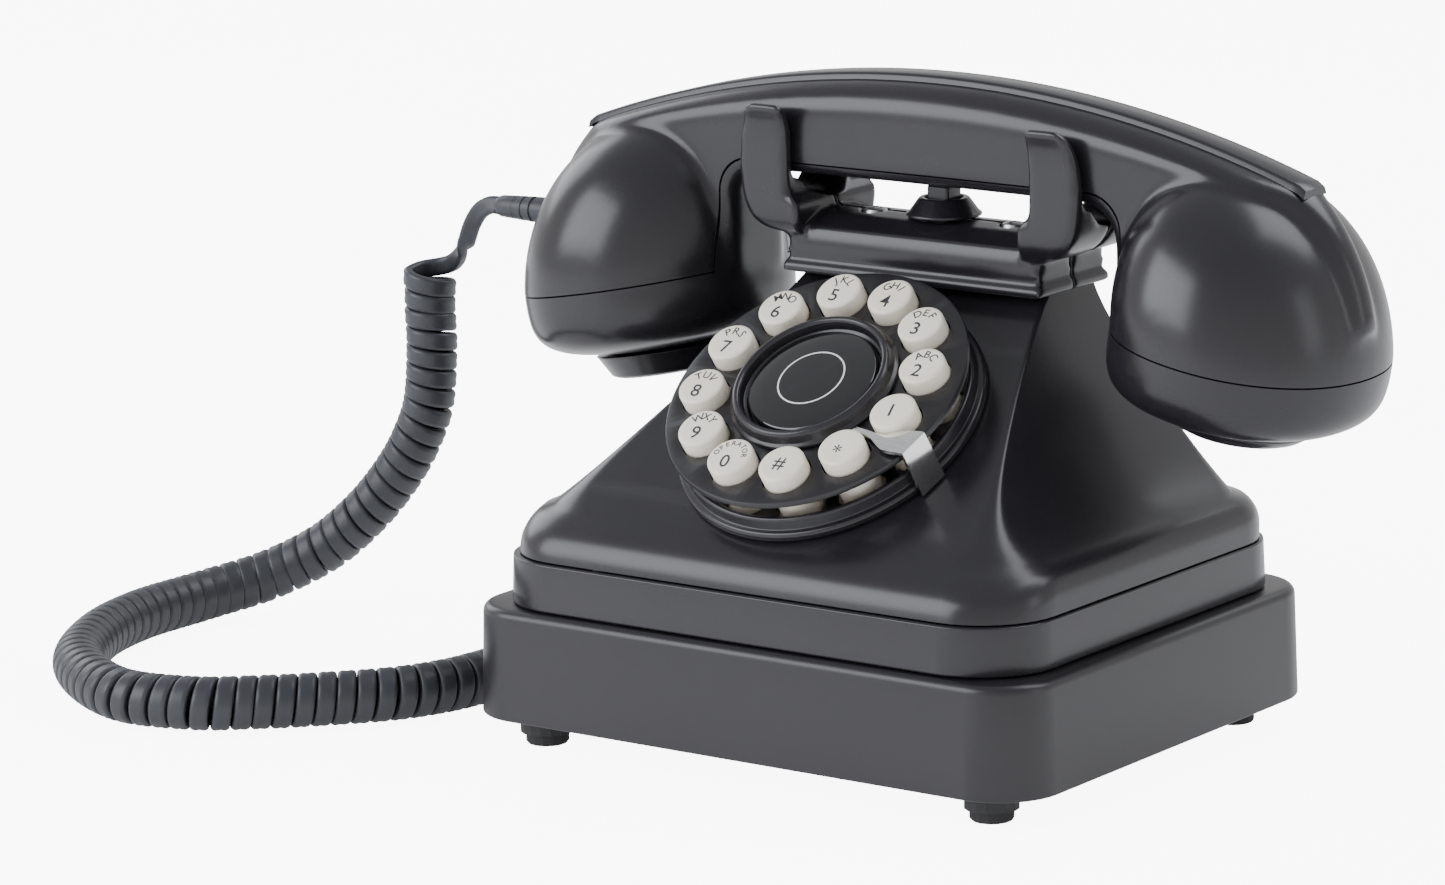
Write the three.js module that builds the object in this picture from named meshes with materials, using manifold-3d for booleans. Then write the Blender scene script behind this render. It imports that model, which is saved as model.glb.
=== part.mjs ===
// Desk telephone with a dial-shaped push-button pad, a lift-off handset and a curly cord.
// Millimetres, +Z up, front towards -Y. The origin lies on the table, under the middle of the base.

import * as THREE from 'three';
import { mergeVertices } from 'three/addons/utils/BufferGeometryUtils.js';
import Module from 'manifold-3d';

const wasm = await Module();
wasm.setup();

// ---- driving dimensions ----

const GAP = 0.3; // between parts that touch
const WALL = 2.4; // moulded wall thickness

const FOOT = { x: 64, y: 52, padRadius: 5.2, padHeight: 2.6, bossRadius: 6.5 };
const PLINTH = { width: 161.5, depth: 131.3, radius: 15.5, bottom: 7.6, top: 34.5, draft: 0.7 };
const BAND = { width: 150.8, depth: 124.8, radius: 19.5, bottom: 34.8, seam: 46.3, draft: 0.4 };
const COVER = { width: 148.6, depth: 122.6, radius: 19 };
const SHOULDER = { z: 57.4, width: 138.4, rear: 56.2, round: 7.8 };
const NECK = { z: 107, halfWidth: 34.8, rear: 38 };
const PANEL = { y: -22, z: 79.6, slope: 0.7105, soften: 8 }; // sloping front panel

const CENTRE_Y = 25.1; // middle plane of the neck, cradle and handset
const LEDGE = { z: 107.3, height: 2.5, halfWidth: 37.2, halfDepth: 15.3 };
const CROWN = { edge: 118.5, top: 122, halfWidth: 35.6, halfDepth: 13.4 };
const PRONG = { inner: 34.4, outer: 49.3, foot: 116.6, seat: 129.9, stem: 16.8, thick: 3.6, tip: 148.8 };
const COLLAR = { baseRadius: 9.1, topRadius: 6, bottom: 122.1, height: 4.4 };
const PLUNGER = { width: 6.2, top: 129.6, bottom: 91.5, flange: 103 };
const SWITCH_TOP = 89;

const DIAL = { y: -28.9, z: 89.6, tilt: 35.39, plateRadius: 37.8, plateThick: 1.9, backPlane: -12 };
const KEY = { ring: 28.35, radius: 5.7, top: 3.9, bottom: -13.4, flange: 6.9, firstAngle: -15, cup: 3.7, hole: 6.15 };
const KEY_NAMES = ['1', '2', '3', '4', '5', '6', '7', '8', '9', '0', 'hash', 'star'];
const STOP_TOP = 2.4; // top face of the finger stop above the plate

const HANDSET = { archTop: 154.8, archRadius: 300, halfWidth: 12.5, under: 130.4, innerX: 54.7, corner: 9,
  edgeRound: 5.6, endHalfWidth: 6.2, taperFrom: 92, taperTo: 114 };
const END = { x: 86, z: 100, tilt: 10.5, halfLength: 31.5, halfWidth: 35.5, apex: 139.4, panDepth: 18,
  sides: 20 };
const OUTER_CURVE = { z: 98, halfLength: 33, height: 44.2 }; // centre band down the end of the handset
const SEAM_RISE = 3.2; // how far the handset's seam stands inside its underside
const HANDSET_WALL = 2.2;
const SPINE = { reach: 98, halfWidth: 4.6, height: 1.5 };

const CORD = { diameter: 4.6, coilDiameter: 13.4 };
const JACK = { y: -2.5, z: 16.5 };
const LINE_JACK_X = 30;

// Cord routes: hand-set points along the lead, the axis of the coiled run, and the tail.
const LEAD_ROUTE = [
  [-136.5, 25.1, 112.2], [-138.8, 25.1, 112], [-142.2, 25.1, 110], [-145.6, 25.3, 106],
  [-148.8, 25.8, 101.8], [-152.4, 26.3, 98.6], [-156.2, 26.7, 96.6],
];
const COIL_ROUTE = [
  [-160.2, 27, 93], [-160.9, 27, 84], [-160.7, 27, 73.3], [-162.2, 27, 58.8], [-166, 26.3, 48.6],
  [-171.5, 25, 39.2], [-179.5, 22, 28.8], [-190.5, 17.6, 18.6], [-203, 9.4, 10.4], [-212.2, -6, 6.95],
  [-213.2, -30, 6.95], [-206.4, -54, 6.95], [-190.5, -78, 6.95], [-164, -93.6, 6.95], [-143, -91.2, 6.95],
  [-129.6, -82, 6.95], [-117.4, -70.4, 6.95], [-106.4, -57.4, 6.95], [-100.4, -43.6, 6.95], [-98.2, -29, 6.95],
];
const TAIL_ROUTE = [
  [-98.1, -28.6, 6.95], [-98.4, -22, 7.4], [-99.6, -15, 9.6], [-100, -8.6, 13], [-97.8, -4.2, 15.8],
  [-94.6, -2.6, 16.5], [-92.3, -2.5, 16.5],
];

// ---- finishes ----

const finish = (color, roughness, metalness) => new THREE.MeshStandardMaterial({ color, roughness, metalness });
const shellBlack = finish(0x2b2c31, 0.34, 0);
const glossBlack = finish(0x101114, 0.12, 0);
const innerBlack = finish(0x1d1d1f, 0.6, 0);
const keyCream = finish(0xe9e1d0, 0.38, 0);
const chrome = finish(0xd8d8d6, 0.18, 1);
const steel = finish(0x9b9ca0, 0.4, 1);
const rubber = finish(0x17171a, 0.85, 0);
const cordSlate = finish(0x414852, 0.55, 0);
const boardGreen = finish(0x1f5a37, 0.6, 0);
const clearPlug = finish(0xc9cdd0, 0.2, 0);

// ---- solids ----

// Closed triangle mesh to a solid, with coincident corners merged and empty triangles dropped.
function solid(geometry) {
  const bare = geometry.clone();
  bare.deleteAttribute('normal');
  bare.deleteAttribute('uv');
  const merged = mergeVertices(bare, 1e-4);
  const index = merged.index.array;
  const triVerts = [];
  for (let i = 0; i < index.length; i += 3) {
    const [a, b, c] = [index[i], index[i + 1], index[i + 2]];
    if (a !== b && b !== c && c !== a) triVerts.push(a, b, c);
  }
  const mesh = new wasm.Mesh({
    numProp: 3,
    vertProperties: Float32Array.from(merged.attributes.position.array),
    triVerts: Uint32Array.from(triVerts),
  });
  mesh.merge();
  return new wasm.Manifold(mesh);
}

function toGeometry(body) {
  const mesh = body.getMesh();
  const geometry = new THREE.BufferGeometry();
  geometry.setAttribute('position', new THREE.BufferAttribute(mesh.vertProperties, 3));
  geometry.setIndex(new THREE.BufferAttribute(mesh.triVerts, 1));
  geometry.computeVertexNormals();
  return geometry;
}

const join = (first, ...rest) => rest.reduce((sum, part) => sum.add(part), first);
const cut = (first, ...rest) => rest.reduce((sum, part) => sum.subtract(part), first);

function box(width, depth, height, x = 0, y = 0, z = 0) {
  return solid(new THREE.BoxGeometry(width, depth, height).translate(x, y, z));
}

// Turned solid about Z from [radius, height] pairs.
function turned(profile, segments = 20) {
  const points = profile.map(([r, z]) => new THREE.Vector2(r, z));
  return solid(new THREE.LatheGeometry(points, segments).rotateX(Math.PI / 2));
}

function rod(radius, bottom, top, segments = 12) {
  return turned([[0, bottom], [radius, bottom], [radius, top], [0, top]], segments);
}

const shift = (body, x, y, z) => body.translate([x, y, z]);

// Solid between rings of equal point count. The rings turn counter-clockwise seen from the last one's side.
function loft(rings) {
  const count = rings[0].length;
  const positions = rings.flat().flatMap((p) => [p.x, p.y, p.z]);
  const index = [];
  for (let level = 0; level < rings.length - 1; level++) {
    for (let i = 0; i < count; i++) {
      const a = level * count + i;
      const b = level * count + ((i + 1) % count);
      index.push(a, b, b + count, a, b + count, a + count);
    }
  }
  const last = (rings.length - 1) * count;
  for (let i = 1; i < count - 1; i++) {
    index.push(0, i + 1, i, last, last + i, last + i + 1);
  }
  const geometry = new THREE.BufferGeometry();
  geometry.setAttribute('position', new THREE.Float32BufferAttribute(positions, 3));
  geometry.setIndex(index);
  return solid(geometry);
}

// Level rectangle with round corners, between x = -w..w and y = front..rear.
function roundedRing(w, front, rear, radius, z, steps = 4) {
  const ring = [];
  const corners = [[w, front, -90], [w, rear, 0], [-w, rear, 90], [-w, front, 180]];
  for (const [x, y, start] of corners) {
    const cx = x - Math.sign(x) * radius;
    const cy = y === front ? y + radius : y - radius;
    for (let k = 0; k <= steps; k++) {
      const a = THREE.MathUtils.degToRad(start + (90 * k) / steps);
      ring.push(new THREE.Vector3(cx + radius * Math.cos(a), cy + radius * Math.sin(a), z));
    }
  }
  return ring;
}

// Round-cornered slab with a slightly smaller, softened top and bottom edge.
function slab(width, depth, radius, bottom, top, taper = 0, edge = 1) {
  const level = (z, inset) =>
    roundedRing(width / 2 - inset, -depth / 2 + inset, depth / 2 - inset, Math.max(radius - inset, 0.5), z);
  return loft([
    level(bottom, edge), level(bottom + edge, 0), level(top - edge, taper), level(top, taper + edge),
  ]);
}

function prism(shape, depth, curveSegments) {
  return new THREE.ExtrudeGeometry(shape, { depth, bevelEnabled: false, curveSegments });
}

// Outline in the XZ plane, pulled through the Y range y0..y1.
function acrossY(shape, y0, y1) {
  return solid(prism(shape, y1 - y0, 6).rotateX(Math.PI / 2).translate(0, y1, 0));
}

// Depth-height outline about the middle plane, pulled along X.
function alongX(shape, x0, x1) {
  const placed = prism(shape, x1 - x0, 4).rotateX(Math.PI / 2).rotateZ(Math.PI / 2);
  return solid(placed.translate(x0, CENTRE_Y, 0));
}

function tube(points, radius, sides, steps) {
  const circle = new THREE.Shape();
  circle.absarc(0, 0, radius, 0, 2 * Math.PI, false);
  const path = new THREE.CatmullRomCurve3(points.map((p) => new THREE.Vector3(...p)));
  return solid(
    new THREE.ExtrudeGeometry(circle, { steps, extrudePath: path, bevelEnabled: false, curveSegments: sides / 2 }),
  );
}

const phone = new THREE.Group();

function add(name, body, material, parent = phone) {
  const mesh = new THREE.Mesh(toGeometry(body), material);
  mesh.name = name;
  parent.add(mesh);
  return mesh;
}

// ---- base ----

function jackRecess(clearance) {
  return box(14, 11.8 + clearance, 11.2 + clearance, -PLINTH.width / 2 + 3, JACK.y, JACK.z);
}

function lineJackRecess(clearance) {
  return box(11.8 + clearance, 14, 11.2 + clearance, LINE_JACK_X, PLINTH.depth / 2 - 3, JACK.z);
}

function plinthShell() {
  const { width, depth, radius, bottom, top, draft } = PLINTH;
  const outer = slab(width, depth, radius, bottom, top, draft, 1.6);
  const hollow = slab(width - 2 * WALL - 1, depth - 2 * WALL - 1, radius - WALL, bottom - 5, top - WALL, draft, 0.6);
  const step = slab(BAND.width - 26, BAND.depth - 26, 8, top - 8, top + 5, 0, 0.5);
  return cut(outer, hollow, step, jackRecess(GAP * 2), lineJackRecess(GAP * 2));
}

function bottomPlate() {
  const inset = WALL + 1.1;
  const plate = slab(PLINTH.width - 2 * inset, PLINTH.depth - 2 * inset, PLINTH.radius - WALL, 7.7, 9.9, 0, 0.3);
  const bosses = footPlaces().map(([x, y]) => shift(rod(FOOT.bossRadius, FOOT.padHeight + GAP, 8.5, 16), x, y, 0));
  const screwHoles = bottomScrewPlaces().map(([x, y]) => shift(rod(1.9, 5, 12, 10), x, y, 0));
  const vents = [-20, -10, 0, 10, 20].map((x) => box(3, 26, 8, x, 30, 8.8));
  return cut(join(plate, ...bosses), ...screwHoles, ...vents);
}

function footPlaces() {
  return [[-FOOT.x, -FOOT.y], [FOOT.x, -FOOT.y], [-FOOT.x, FOOT.y], [FOOT.x, FOOT.y]];
}

function bottomScrewPlaces() {
  return [[-FOOT.x + 16, -FOOT.y + 6], [FOOT.x - 16, -FOOT.y + 6], [-FOOT.x + 16, FOOT.y - 6], [FOOT.x - 16, FOOT.y - 6]];
}

function footPad() {
  const { padRadius: r, padHeight: h } = FOOT;
  return turned([[0, 0], [r - 0.5, 0], [r, 0.5], [r, h], [0, h]], 14);
}

// Pan-head screw, head downwards at z = 0, shank up.
function panScrew(length) {
  const body = turned([[0, 0], [2.6, 0], [3.1, 0.7], [3.1, 1.8], [1.5, 1.8], [1.5, length], [0, length]], 10);
  return cut(body, box(3.6, 0.8, 1.6, 0, 0, 0), box(0.8, 3.6, 1.6, 0, 0, 0));
}

function lowerHousing() {
  const { width, depth, radius, bottom, seam, draft } = BAND;
  const outer = slab(width, depth, radius, bottom, seam, draft, 0.4);
  const hollow = slab(width - 2 * WALL, depth - 2 * WALL, radius - WALL, bottom - 5, seam + 5, 0, 0.4);
  return cut(outer, hollow);
}

// Half width and rear depth flare out concavely from the neck (t = 0) to the shoulder (t = 1).
function flare(t) {
  return 0.8 * t ** 1.2 + 0.2 * t ** 8;
}

function panelFront(z) {
  const ahead = PANEL.y + (z - PANEL.z) / PANEL.slope + COVER.depth / 2;
  return -COVER.depth / 2 + (ahead + Math.sqrt(ahead * ahead + 4 * PANEL.soften)) / 2;
}

function housingRing(z, inset) {
  const front = panelFront(z) + inset * 1.25;
  if (z > SHOULDER.z) {
    const t = (NECK.z - z) / (NECK.z - SHOULDER.z);
    const w = NECK.halfWidth + (SHOULDER.width / 2 - NECK.halfWidth) * flare(t);
    const rear = NECK.rear + (SHOULDER.rear - NECK.rear) * flare(t);
    return roundedRing(w - inset, front, rear - inset, Math.max(1.2 + 16.5 * t ** 8 - inset, 0.6), z);
  }
  const drop = Math.min((SHOULDER.z - z) / SHOULDER.round, 1);
  const round = Math.sqrt(1 - (1 - drop) ** 2);
  const w = SHOULDER.width / 2 + (COVER.width - SHOULDER.width) / 2 * round;
  const rear = SHOULDER.rear + (COVER.depth / 2 - SHOULDER.rear) * round;
  return roundedRing(w - inset, front, rear - inset, COVER.radius - 1.3 + 1.3 * round - inset, z);
}

function housingBody(bottom, top, inset) {
  const above = [0.995, 0.96, 0.9, 0.82, 0.7, 0.55, 0.4, 0.25, 0.12].map(
    (t) => NECK.z - t * (NECK.z - SHOULDER.z) - inset,
  );
  const below = [1, 0.72, 0.4, 0.12, 0].map((k) => SHOULDER.z - inset - SHOULDER.round * k);
  const levels = [bottom, 48.2 - inset * 0.5, ...below, ...above, top];
  const rings = levels.map((z) => housingRing(Math.min(z + inset, NECK.z), inset).map((p) => p.setZ(z)));
  return loft(rings);
}

// Moves a solid from the dial's own frame (plate top at z = 0, face up) to its place on the panel.
function onPanel(body) {
  return body.rotate([DIAL.tilt, 0, 0]).translate([0, DIAL.y, DIAL.z]);
}

function housingCover() {
  const outer = housingBody(BAND.seam + GAP, NECK.z, 0);
  const hollow = housingBody(BAND.seam - 2, NECK.z - WALL, WALL);
  const padOpening = onPanel(rod(36.4, -30, -9, 28));
  const plungerHole = shift(rod(5.4, 90, 115, 16), 0, CENTRE_Y, 0);
  return cut(outer, hollow, padOpening, plungerHole);
}

function mainBoard() {
  return cut(box(96, 58, 1.6, 0, 6, 20), box(30, 12, 4, 40, -22, 20));
}

function ballastWeight() {
  return slab(84, 34, 4, 10.3, 17.3, 0, 0.4).translate([0, -38, 0]);
}

function ringerSpeaker() {
  const body = turned([[0, 0], [11, 0], [11, 2], [20, 7], [20, 9], [0, 9]], 20);
  return shift(body, -36, 30, 22);
}

// Modular socket along X, its open mouth at x = 0.
function modularJack() {
  const body = box(13, 11.8, 11.2, 6.5, 0, 0);
  const mouth = box(11.5, 9.9, 6.9, 5.5, 0, 0);
  const latchWay = box(8, 3.4, 1.6, 3.8, 0, -4);
  return cut(body, mouth, latchWay);
}

// ---- cradle and hook ----

function crownProfile() {
  const { edge, top, halfDepth } = CROWN;
  const shape = new THREE.Shape();
  shape.moveTo(-LEDGE.halfDepth, LEDGE.z);
  shape.lineTo(LEDGE.halfDepth, LEDGE.z);
  shape.lineTo(LEDGE.halfDepth, LEDGE.z + 1.9);
  shape.lineTo(LEDGE.halfDepth - 0.7, LEDGE.z + LEDGE.height);
  shape.lineTo(halfDepth + 0.5, LEDGE.z + LEDGE.height + 0.4);
  shape.quadraticCurveTo(halfDepth + 1.3, edge - 3, halfDepth - 0.4, edge);
  shape.quadraticCurveTo(0, 2 * top - edge, -halfDepth + 0.4, edge);
  shape.quadraticCurveTo(-halfDepth - 1.3, edge - 3, -halfDepth - 0.5, LEDGE.z + LEDGE.height + 0.4);
  shape.lineTo(-LEDGE.halfDepth + 0.7, LEDGE.z + LEDGE.height);
  shape.lineTo(-LEDGE.halfDepth, LEDGE.z + 1.9);
  return shape;
}

// Side view of one pair of prongs: a lyre with two seats for the handle and outward-curled tips.
function lyreProfile() {
  const { foot, seat, stem, thick, tip } = PRONG;
  const shape = new THREE.Shape();
  shape.moveTo(-stem + 3, foot);
  shape.lineTo(stem - 3, foot);
  shape.quadraticCurveTo(stem, foot + 1, stem, foot + 5);
  shape.lineTo(stem, 138);
  shape.quadraticCurveTo(stem, tip - 4, stem + 2.6, tip - 1.4);
  shape.lineTo(stem + 1.4, tip);
  shape.quadraticCurveTo(stem - thick, tip - 2, stem - thick, 138);
  shape.lineTo(stem - thick, seat + 1);
  shape.quadraticCurveTo(stem - thick, seat, stem - thick - 1, seat);
  shape.lineTo(9.4, seat - 0.3);
  shape.quadraticCurveTo(7, 124.6, 0, 124.2);
  shape.quadraticCurveTo(-7, 124.6, -9.4, seat - 0.3);
  shape.lineTo(-stem + thick + 1, seat);
  shape.quadraticCurveTo(-stem + thick, seat, -stem + thick, seat + 1);
  shape.lineTo(-stem + thick, 138);
  shape.quadraticCurveTo(-stem + thick, tip - 2, -stem - 1.4, tip);
  shape.lineTo(-stem - 2.6, tip - 1.4);
  shape.quadraticCurveTo(-stem, tip - 4, -stem, 138);
  shape.lineTo(-stem, foot + 5);
  shape.quadraticCurveTo(-stem, foot + 1, -stem + 3, foot);
  return shape;
}

// Front view of a prong: straight inside edge, bulging outside edge that runs round into the crown.
function prongFront() {
  const { inner, outer, foot, tip } = PRONG;
  const shape = new THREE.Shape();
  shape.moveTo(inner - 3, foot - 1);
  shape.lineTo(outer - 11, foot - 0.6);
  shape.quadraticCurveTo(outer - 2, foot + 1.2, outer - 0.8, foot + 9.6);
  shape.quadraticCurveTo(outer + 0.6, foot + 18.8, outer - 1.6, foot + 25.4);
  shape.quadraticCurveTo(outer - 3, tip + 0.4, outer - 7.4, tip + 0.5);
  shape.lineTo(inner + 3, tip + 0.5);
  shape.quadraticCurveTo(inner, tip + 0.4, inner, tip - 3);
  shape.lineTo(inner, PRONG.seat - 3);
  shape.lineTo(inner - 3, PRONG.seat - 6);
  return shape;
}

function cradleBody() {
  const crown = alongX(crownProfile(), -LEDGE.halfWidth, LEDGE.halfWidth);
  const side = CROWN.halfWidth;
  const trim = loft([
    roundedRing(LEDGE.halfWidth, 0, 60, 1, LEDGE.z - 1),
    roundedRing(LEDGE.halfWidth, 0, 60, 1, LEDGE.z + LEDGE.height),
    roundedRing(side + 0.6, 0, 60, 1, LEDGE.z + LEDGE.height + 0.6),
    roundedRing(side + 1, 0, 60, 1, CROWN.edge - 3),
    roundedRing(side, 0, 60, 1, CROWN.edge + 1),
    roundedRing(side - 2.5, 0, 60, 1, CROWN.top + 2),
  ]);
  const lyre = alongX(lyreProfile(), PRONG.inner - 3, PRONG.outer);
  const outline = acrossY(prongFront(), 0, 60);
  const right = lyre.intersect(outline);
  const left = right.mirror([1, 0, 0]);
  const pocket = box(58, 21, 14, 0, CENTRE_Y, LEDGE.z + 1.5);
  const screwWays = screwPlaces().map((x) => shift(rod(3.5, LEDGE.z - 5, CROWN.top + 3, 16), x, CENTRE_Y, 0));
  const way = shift(rod(5.4, LEDGE.z - 5, CROWN.top + 3, 16), 0, CENTRE_Y, 0);
  return cut(join(crown.intersect(trim), left, right), pocket, ...screwWays, way);
}

const screwPlaces = () => [-20, 20];

function cradleHalf(rear) {
  const reach = rear ? 50 : -50;
  const half = box(120, 100 - GAP, 60, 0, CENTRE_Y + reach, 130);
  return cradleBody().intersect(half);
}

// Screw standing in the crown, head up.
function cradleScrew() {
  return panScrew(12).rotate([180, 0, 0]);
}

function plungerCollar() {
  const { baseRadius, topRadius, bottom, height } = COLLAR;
  const body = turned([
    [4.7, bottom], [baseRadius, bottom], [baseRadius, bottom + 0.6],
    [topRadius, bottom + height], [4.7, bottom + height], [4.7, bottom],
  ], 20);
  return shift(body, 0, CENTRE_Y, 0);
}

function hookPlunger() {
  const { width, top, bottom } = PLUNGER;
  const post = slab(width, width, 0.9, bottom, top, 0, 0.5);
  const flange = rod(4.9, PLUNGER.flange, PLUNGER.flange + 1.2, 16);
  return shift(join(post, flange), 0, CENTRE_Y, 0);
}

// Return spring below the flange, drawn as a helix.
function plungerSpring() {
  const turns = 5;
  const wire = 0.35;
  const low = SWITCH_TOP + wire + GAP;
  const high = PLUNGER.flange - wire - GAP;
  const points = [];
  for (let i = 0; i <= turns * 10; i++) {
    const a = (i / 10) * 2 * Math.PI;
    points.push([5 * Math.cos(a), CENTRE_Y + 5 * Math.sin(a), low + (i / (turns * 10)) * (high - low)]);
  }
  return tube(points, wire, 4, 40);
}

function hookSwitch() {
  const body = box(20, 12, 9.4, 0, CENTRE_Y, SWITCH_TOP - 4.7);
  const bracket = box(30, 14, 1.6, 0, CENTRE_Y, SWITCH_TOP - 10);
  const button = shift(rod(1.6, SWITCH_TOP - 1, PLUNGER.bottom - GAP, 10), 0, CENTRE_Y, 0);
  return join(body, bracket, button);
}

// ---- dial pad, in the dial's own frame: plate top at z = 0 ----

function keyPlace(index) {
  const angle = THREE.MathUtils.degToRad(KEY.firstAngle + 30 * index);
  return [KEY.ring * Math.cos(angle), KEY.ring * Math.sin(angle)];
}

const keyHoles = (radius, bottom, top) =>
  KEY_NAMES.map((_, i) => shift(rod(radius, bottom, top, 12), ...keyPlace(i), 0));

function dialBase() {
  const back = DIAL.backPlane + GAP;
  const dish = turned([
    [0, back], [38.6, back], [38.6, back + 1.4], [38.1, back + 2], [36.9, back + 2.2], [36.7, back + 3.4],
    [36.2, back + 3.8], [35.3, back + 3.8], [34.9, back + 1.8], [15.5, back + 1.8], [15.5, -DIAL.plateThick - GAP],
    [0, -DIAL.plateThick - GAP],
  ], 32);
  return cut(dish, ...keyHoles(KEY.hole, back - 1, back + 4));
}

function fingerPlate() {
  const r = DIAL.plateRadius;
  const t = DIAL.plateThick;
  const disc = turned([[0, -t], [r - 0.5, -t], [r, -t + 0.5], [r, -0.5], [r - 0.5, 0], [0, 0]], 40);
  return cut(disc, ...keyHoles(KEY.hole, -5, 5));
}

function centreRing() {
  return turned([
    [16.6, GAP], [21, GAP], [21, 1.2], [20, 1.7], [19.6, 3.6], [19.1, 4.2], [18.2, 4.2],
    [17.7, 3.7], [17.5, 1.4], [16.6, 1.1], [16.6, GAP],
  ], 28);
}

function centreDisc() {
  return turned([[0, GAP], [16.2, GAP], [16.2, 2.2], [15.6, 2.7], [0, 3.4]], 28);
}

// Push button: a cup with a chamfered crown over its rubber dome, kept in by a flange behind the base.
function keyCap() {
  const { radius: r, flange, top, bottom, cup } = KEY;
  return turned([
    [0, top], [0, top - 4], [cup, top - 4], [cup, bottom], [flange, bottom], [flange, bottom + 1.1],
    [r, bottom + 1.1], [r, top - 0.7], [r - 0.6, top], [0, top],
  ], 12);
}

function keypadMat() {
  const sheet = rod(34.6, -17.3, -16.3, 24);
  const domes = KEY_NAMES.map((_, i) => {
    const dome = turned([[0, -16.5], [3.2, -16.5], [2.6, -13.2], [0, -12.6]], 7);
    return shift(dome, ...keyPlace(i), 0);
  });
  return join(sheet, ...domes);
}

function keypadBoard() {
  return cut(rod(34.6, -19.2, -17.6, 24), rod(5, -25, -10, 12));
}

// Bent metal strip: a tapering top between two buttons and a tab down outside the plate's rim.
function fingerStop() {
  const top = new THREE.Shape();
  top.moveTo(19.4, -12.4);
  top.quadraticCurveTo(18.4, -13.6, 19.8, -14);
  top.quadraticCurveTo(24.8, -15.2, 28.4, -18.1);
  top.lineTo(35.2, -18.5);
  top.lineTo(37.3, -11.3);
  top.quadraticCurveTo(31, -12.1, 27.6, -13.9);
  top.quadraticCurveTo(23, -13, 19.4, -12.4);
  const face = solid(prism(top, 1, 5).translate(0, 0, STOP_TOP - 1));
  const middle = new THREE.Vector2((35.2 + 37.3) / 2, (-18.5 - 11.3) / 2);
  const turn = THREE.MathUtils.radToDeg(Math.atan2(37.3 - 35.2, 18.5 - 11.3));
  const low = DIAL.backPlane + GAP;
  const tab = box(1, 7.5, STOP_TOP - low, 0, 0, (STOP_TOP + low) / 2).rotate([0, 0, -turn]);
  return join(face, shift(tab, middle.x + 0.35, middle.y - 0.1, 0));
}

// ---- handset ----

function topProfile(x) {
  const ax = Math.abs(x);
  const arch = HANDSET.archTop - HANDSET.archRadius + Math.sqrt(HANDSET.archRadius ** 2 - ax * ax);
  if (ax < END.x) return arch;
  const beyond = (ax - END.x) / OUTER_CURVE.halfLength;
  const band = OUTER_CURVE.z + OUTER_CURVE.height * Math.sqrt(Math.max(1 - beyond ** 2, 0));
  return Math.min(arch, band);
}

// Sections of the arched handle from its right end to the middle, as [inner x, z, outer x, z].
function handleStations() {
  const { innerX, under, corner } = HANDSET;
  const inner = [[innerX, 104], [innerX, 110], [innerX, 116]];
  for (let k = 0; k <= 4; k++) {
    const a = (k / 4) * (Math.PI / 2);
    inner.push([innerX - corner * (1 - Math.cos(a)), under - corner * (1 - Math.sin(a))]);
  }
  for (const share of [0.72, 0.36, 0]) inner.push([(innerX - corner) * share, under]);
  const outer = [118.6, 116.9, 114, 110, 105, 98, 88, 75, 58, 30, 0];
  return inner.map(([x, z], i) => [x, z, outer[i], topProfile(outer[i])]);
}

// Round-cornered section across the handle, from its inner face to its outer face.
function handleSection([x0, z0, x1, z1], inset) {
  const { edgeRound, halfWidth, endHalfWidth, taperFrom, taperTo } = HANDSET;
  const length = Math.hypot(x1 - x0, z1 - z0);
  const [ux, uz] = [(x1 - x0) / length, (z1 - z0) / length];
  const r = edgeRound - inset;
  const w = halfWidth - inset;
  const taper = THREE.MathUtils.smoothstep(Math.abs(x1), taperFrom, taperTo);
  const outerW = w - (halfWidth - endHalfWidth) * taper;
  const corners = [[inset, -w, 180], [length - inset, -outerW, 270], [length - inset, outerW, 0], [inset, w, 90]];
  const ring = [];
  for (const [s, t, start] of corners) {
    const cs = s === inset ? s + r : s - r;
    for (let k = 0; k <= 2; k++) {
      const a = THREE.MathUtils.degToRad(start + 45 * k);
      const along = cs + r * Math.cos(a);
      const y = t - Math.sign(t) * r + r * Math.sin(a);
      ring.push(new THREE.Vector3(x0 + ux * along, CENTRE_Y + y, z0 + uz * along));
    }
  }
  return ring;
}

function handle(inset) {
  const right = handleStations();
  const left = right.slice(0, -1).reverse().map(([x0, z0, x1, z1]) => [-x0, z0, -x1, z1]);
  return loft([...right, ...left].map((station) => handleSection(station, inset)));
}

// One rounded end: a dome above the tilted seam ring and a deep, full pan below it.
function handsetEnd(side, inset) {
  const tilt = THREE.MathUtils.degToRad(END.tilt);
  const along = new THREE.Vector3(side * Math.cos(tilt), 0, -Math.sin(tilt));
  const normal = new THREE.Vector3(side * Math.sin(tilt), 0, Math.cos(tilt));
  const seam = new THREE.Vector3(side * END.x, CENTRE_Y, END.z);
  const apex = new THREE.Vector3(side * END.x, CENTRE_Y, END.apex - inset);
  const ring = (centre, scale) => {
    const points = [];
    for (let i = 0; i < END.sides; i++) {
      const a = (i / END.sides) * 2 * Math.PI * side;
      const cos = Math.sign(Math.cos(a)) * Math.abs(Math.cos(a)) ** 0.92;
      const sin = Math.sign(Math.sin(a)) * Math.abs(Math.sin(a)) ** 0.92;
      const out = along.clone().multiplyScalar(cos * (END.halfLength - inset) * scale);
      points.push(centre.clone().add(out).setY(CENTRE_Y + sin * (END.halfWidth - inset) * scale));
    }
    return points;
  };
  const pan = [1, 0.9, 0.68, 0.35].map((k) => {
    const centre = seam.clone().addScaledVector(normal, -k * (END.panDepth - inset));
    return ring(centre, k === 1 ? 0.68 : (1 - k ** 4.4) ** (1 / 3.2));
  });
  const dome = [0, 0.24, 0.46, 0.65, 0.8, 0.92, 0.985].map((k) =>
    ring(seam.clone().lerp(apex, k), (1 - k ** 2.15) ** (1 / 2.15)),
  );
  return loft([...pan, ...dome]);
}

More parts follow.
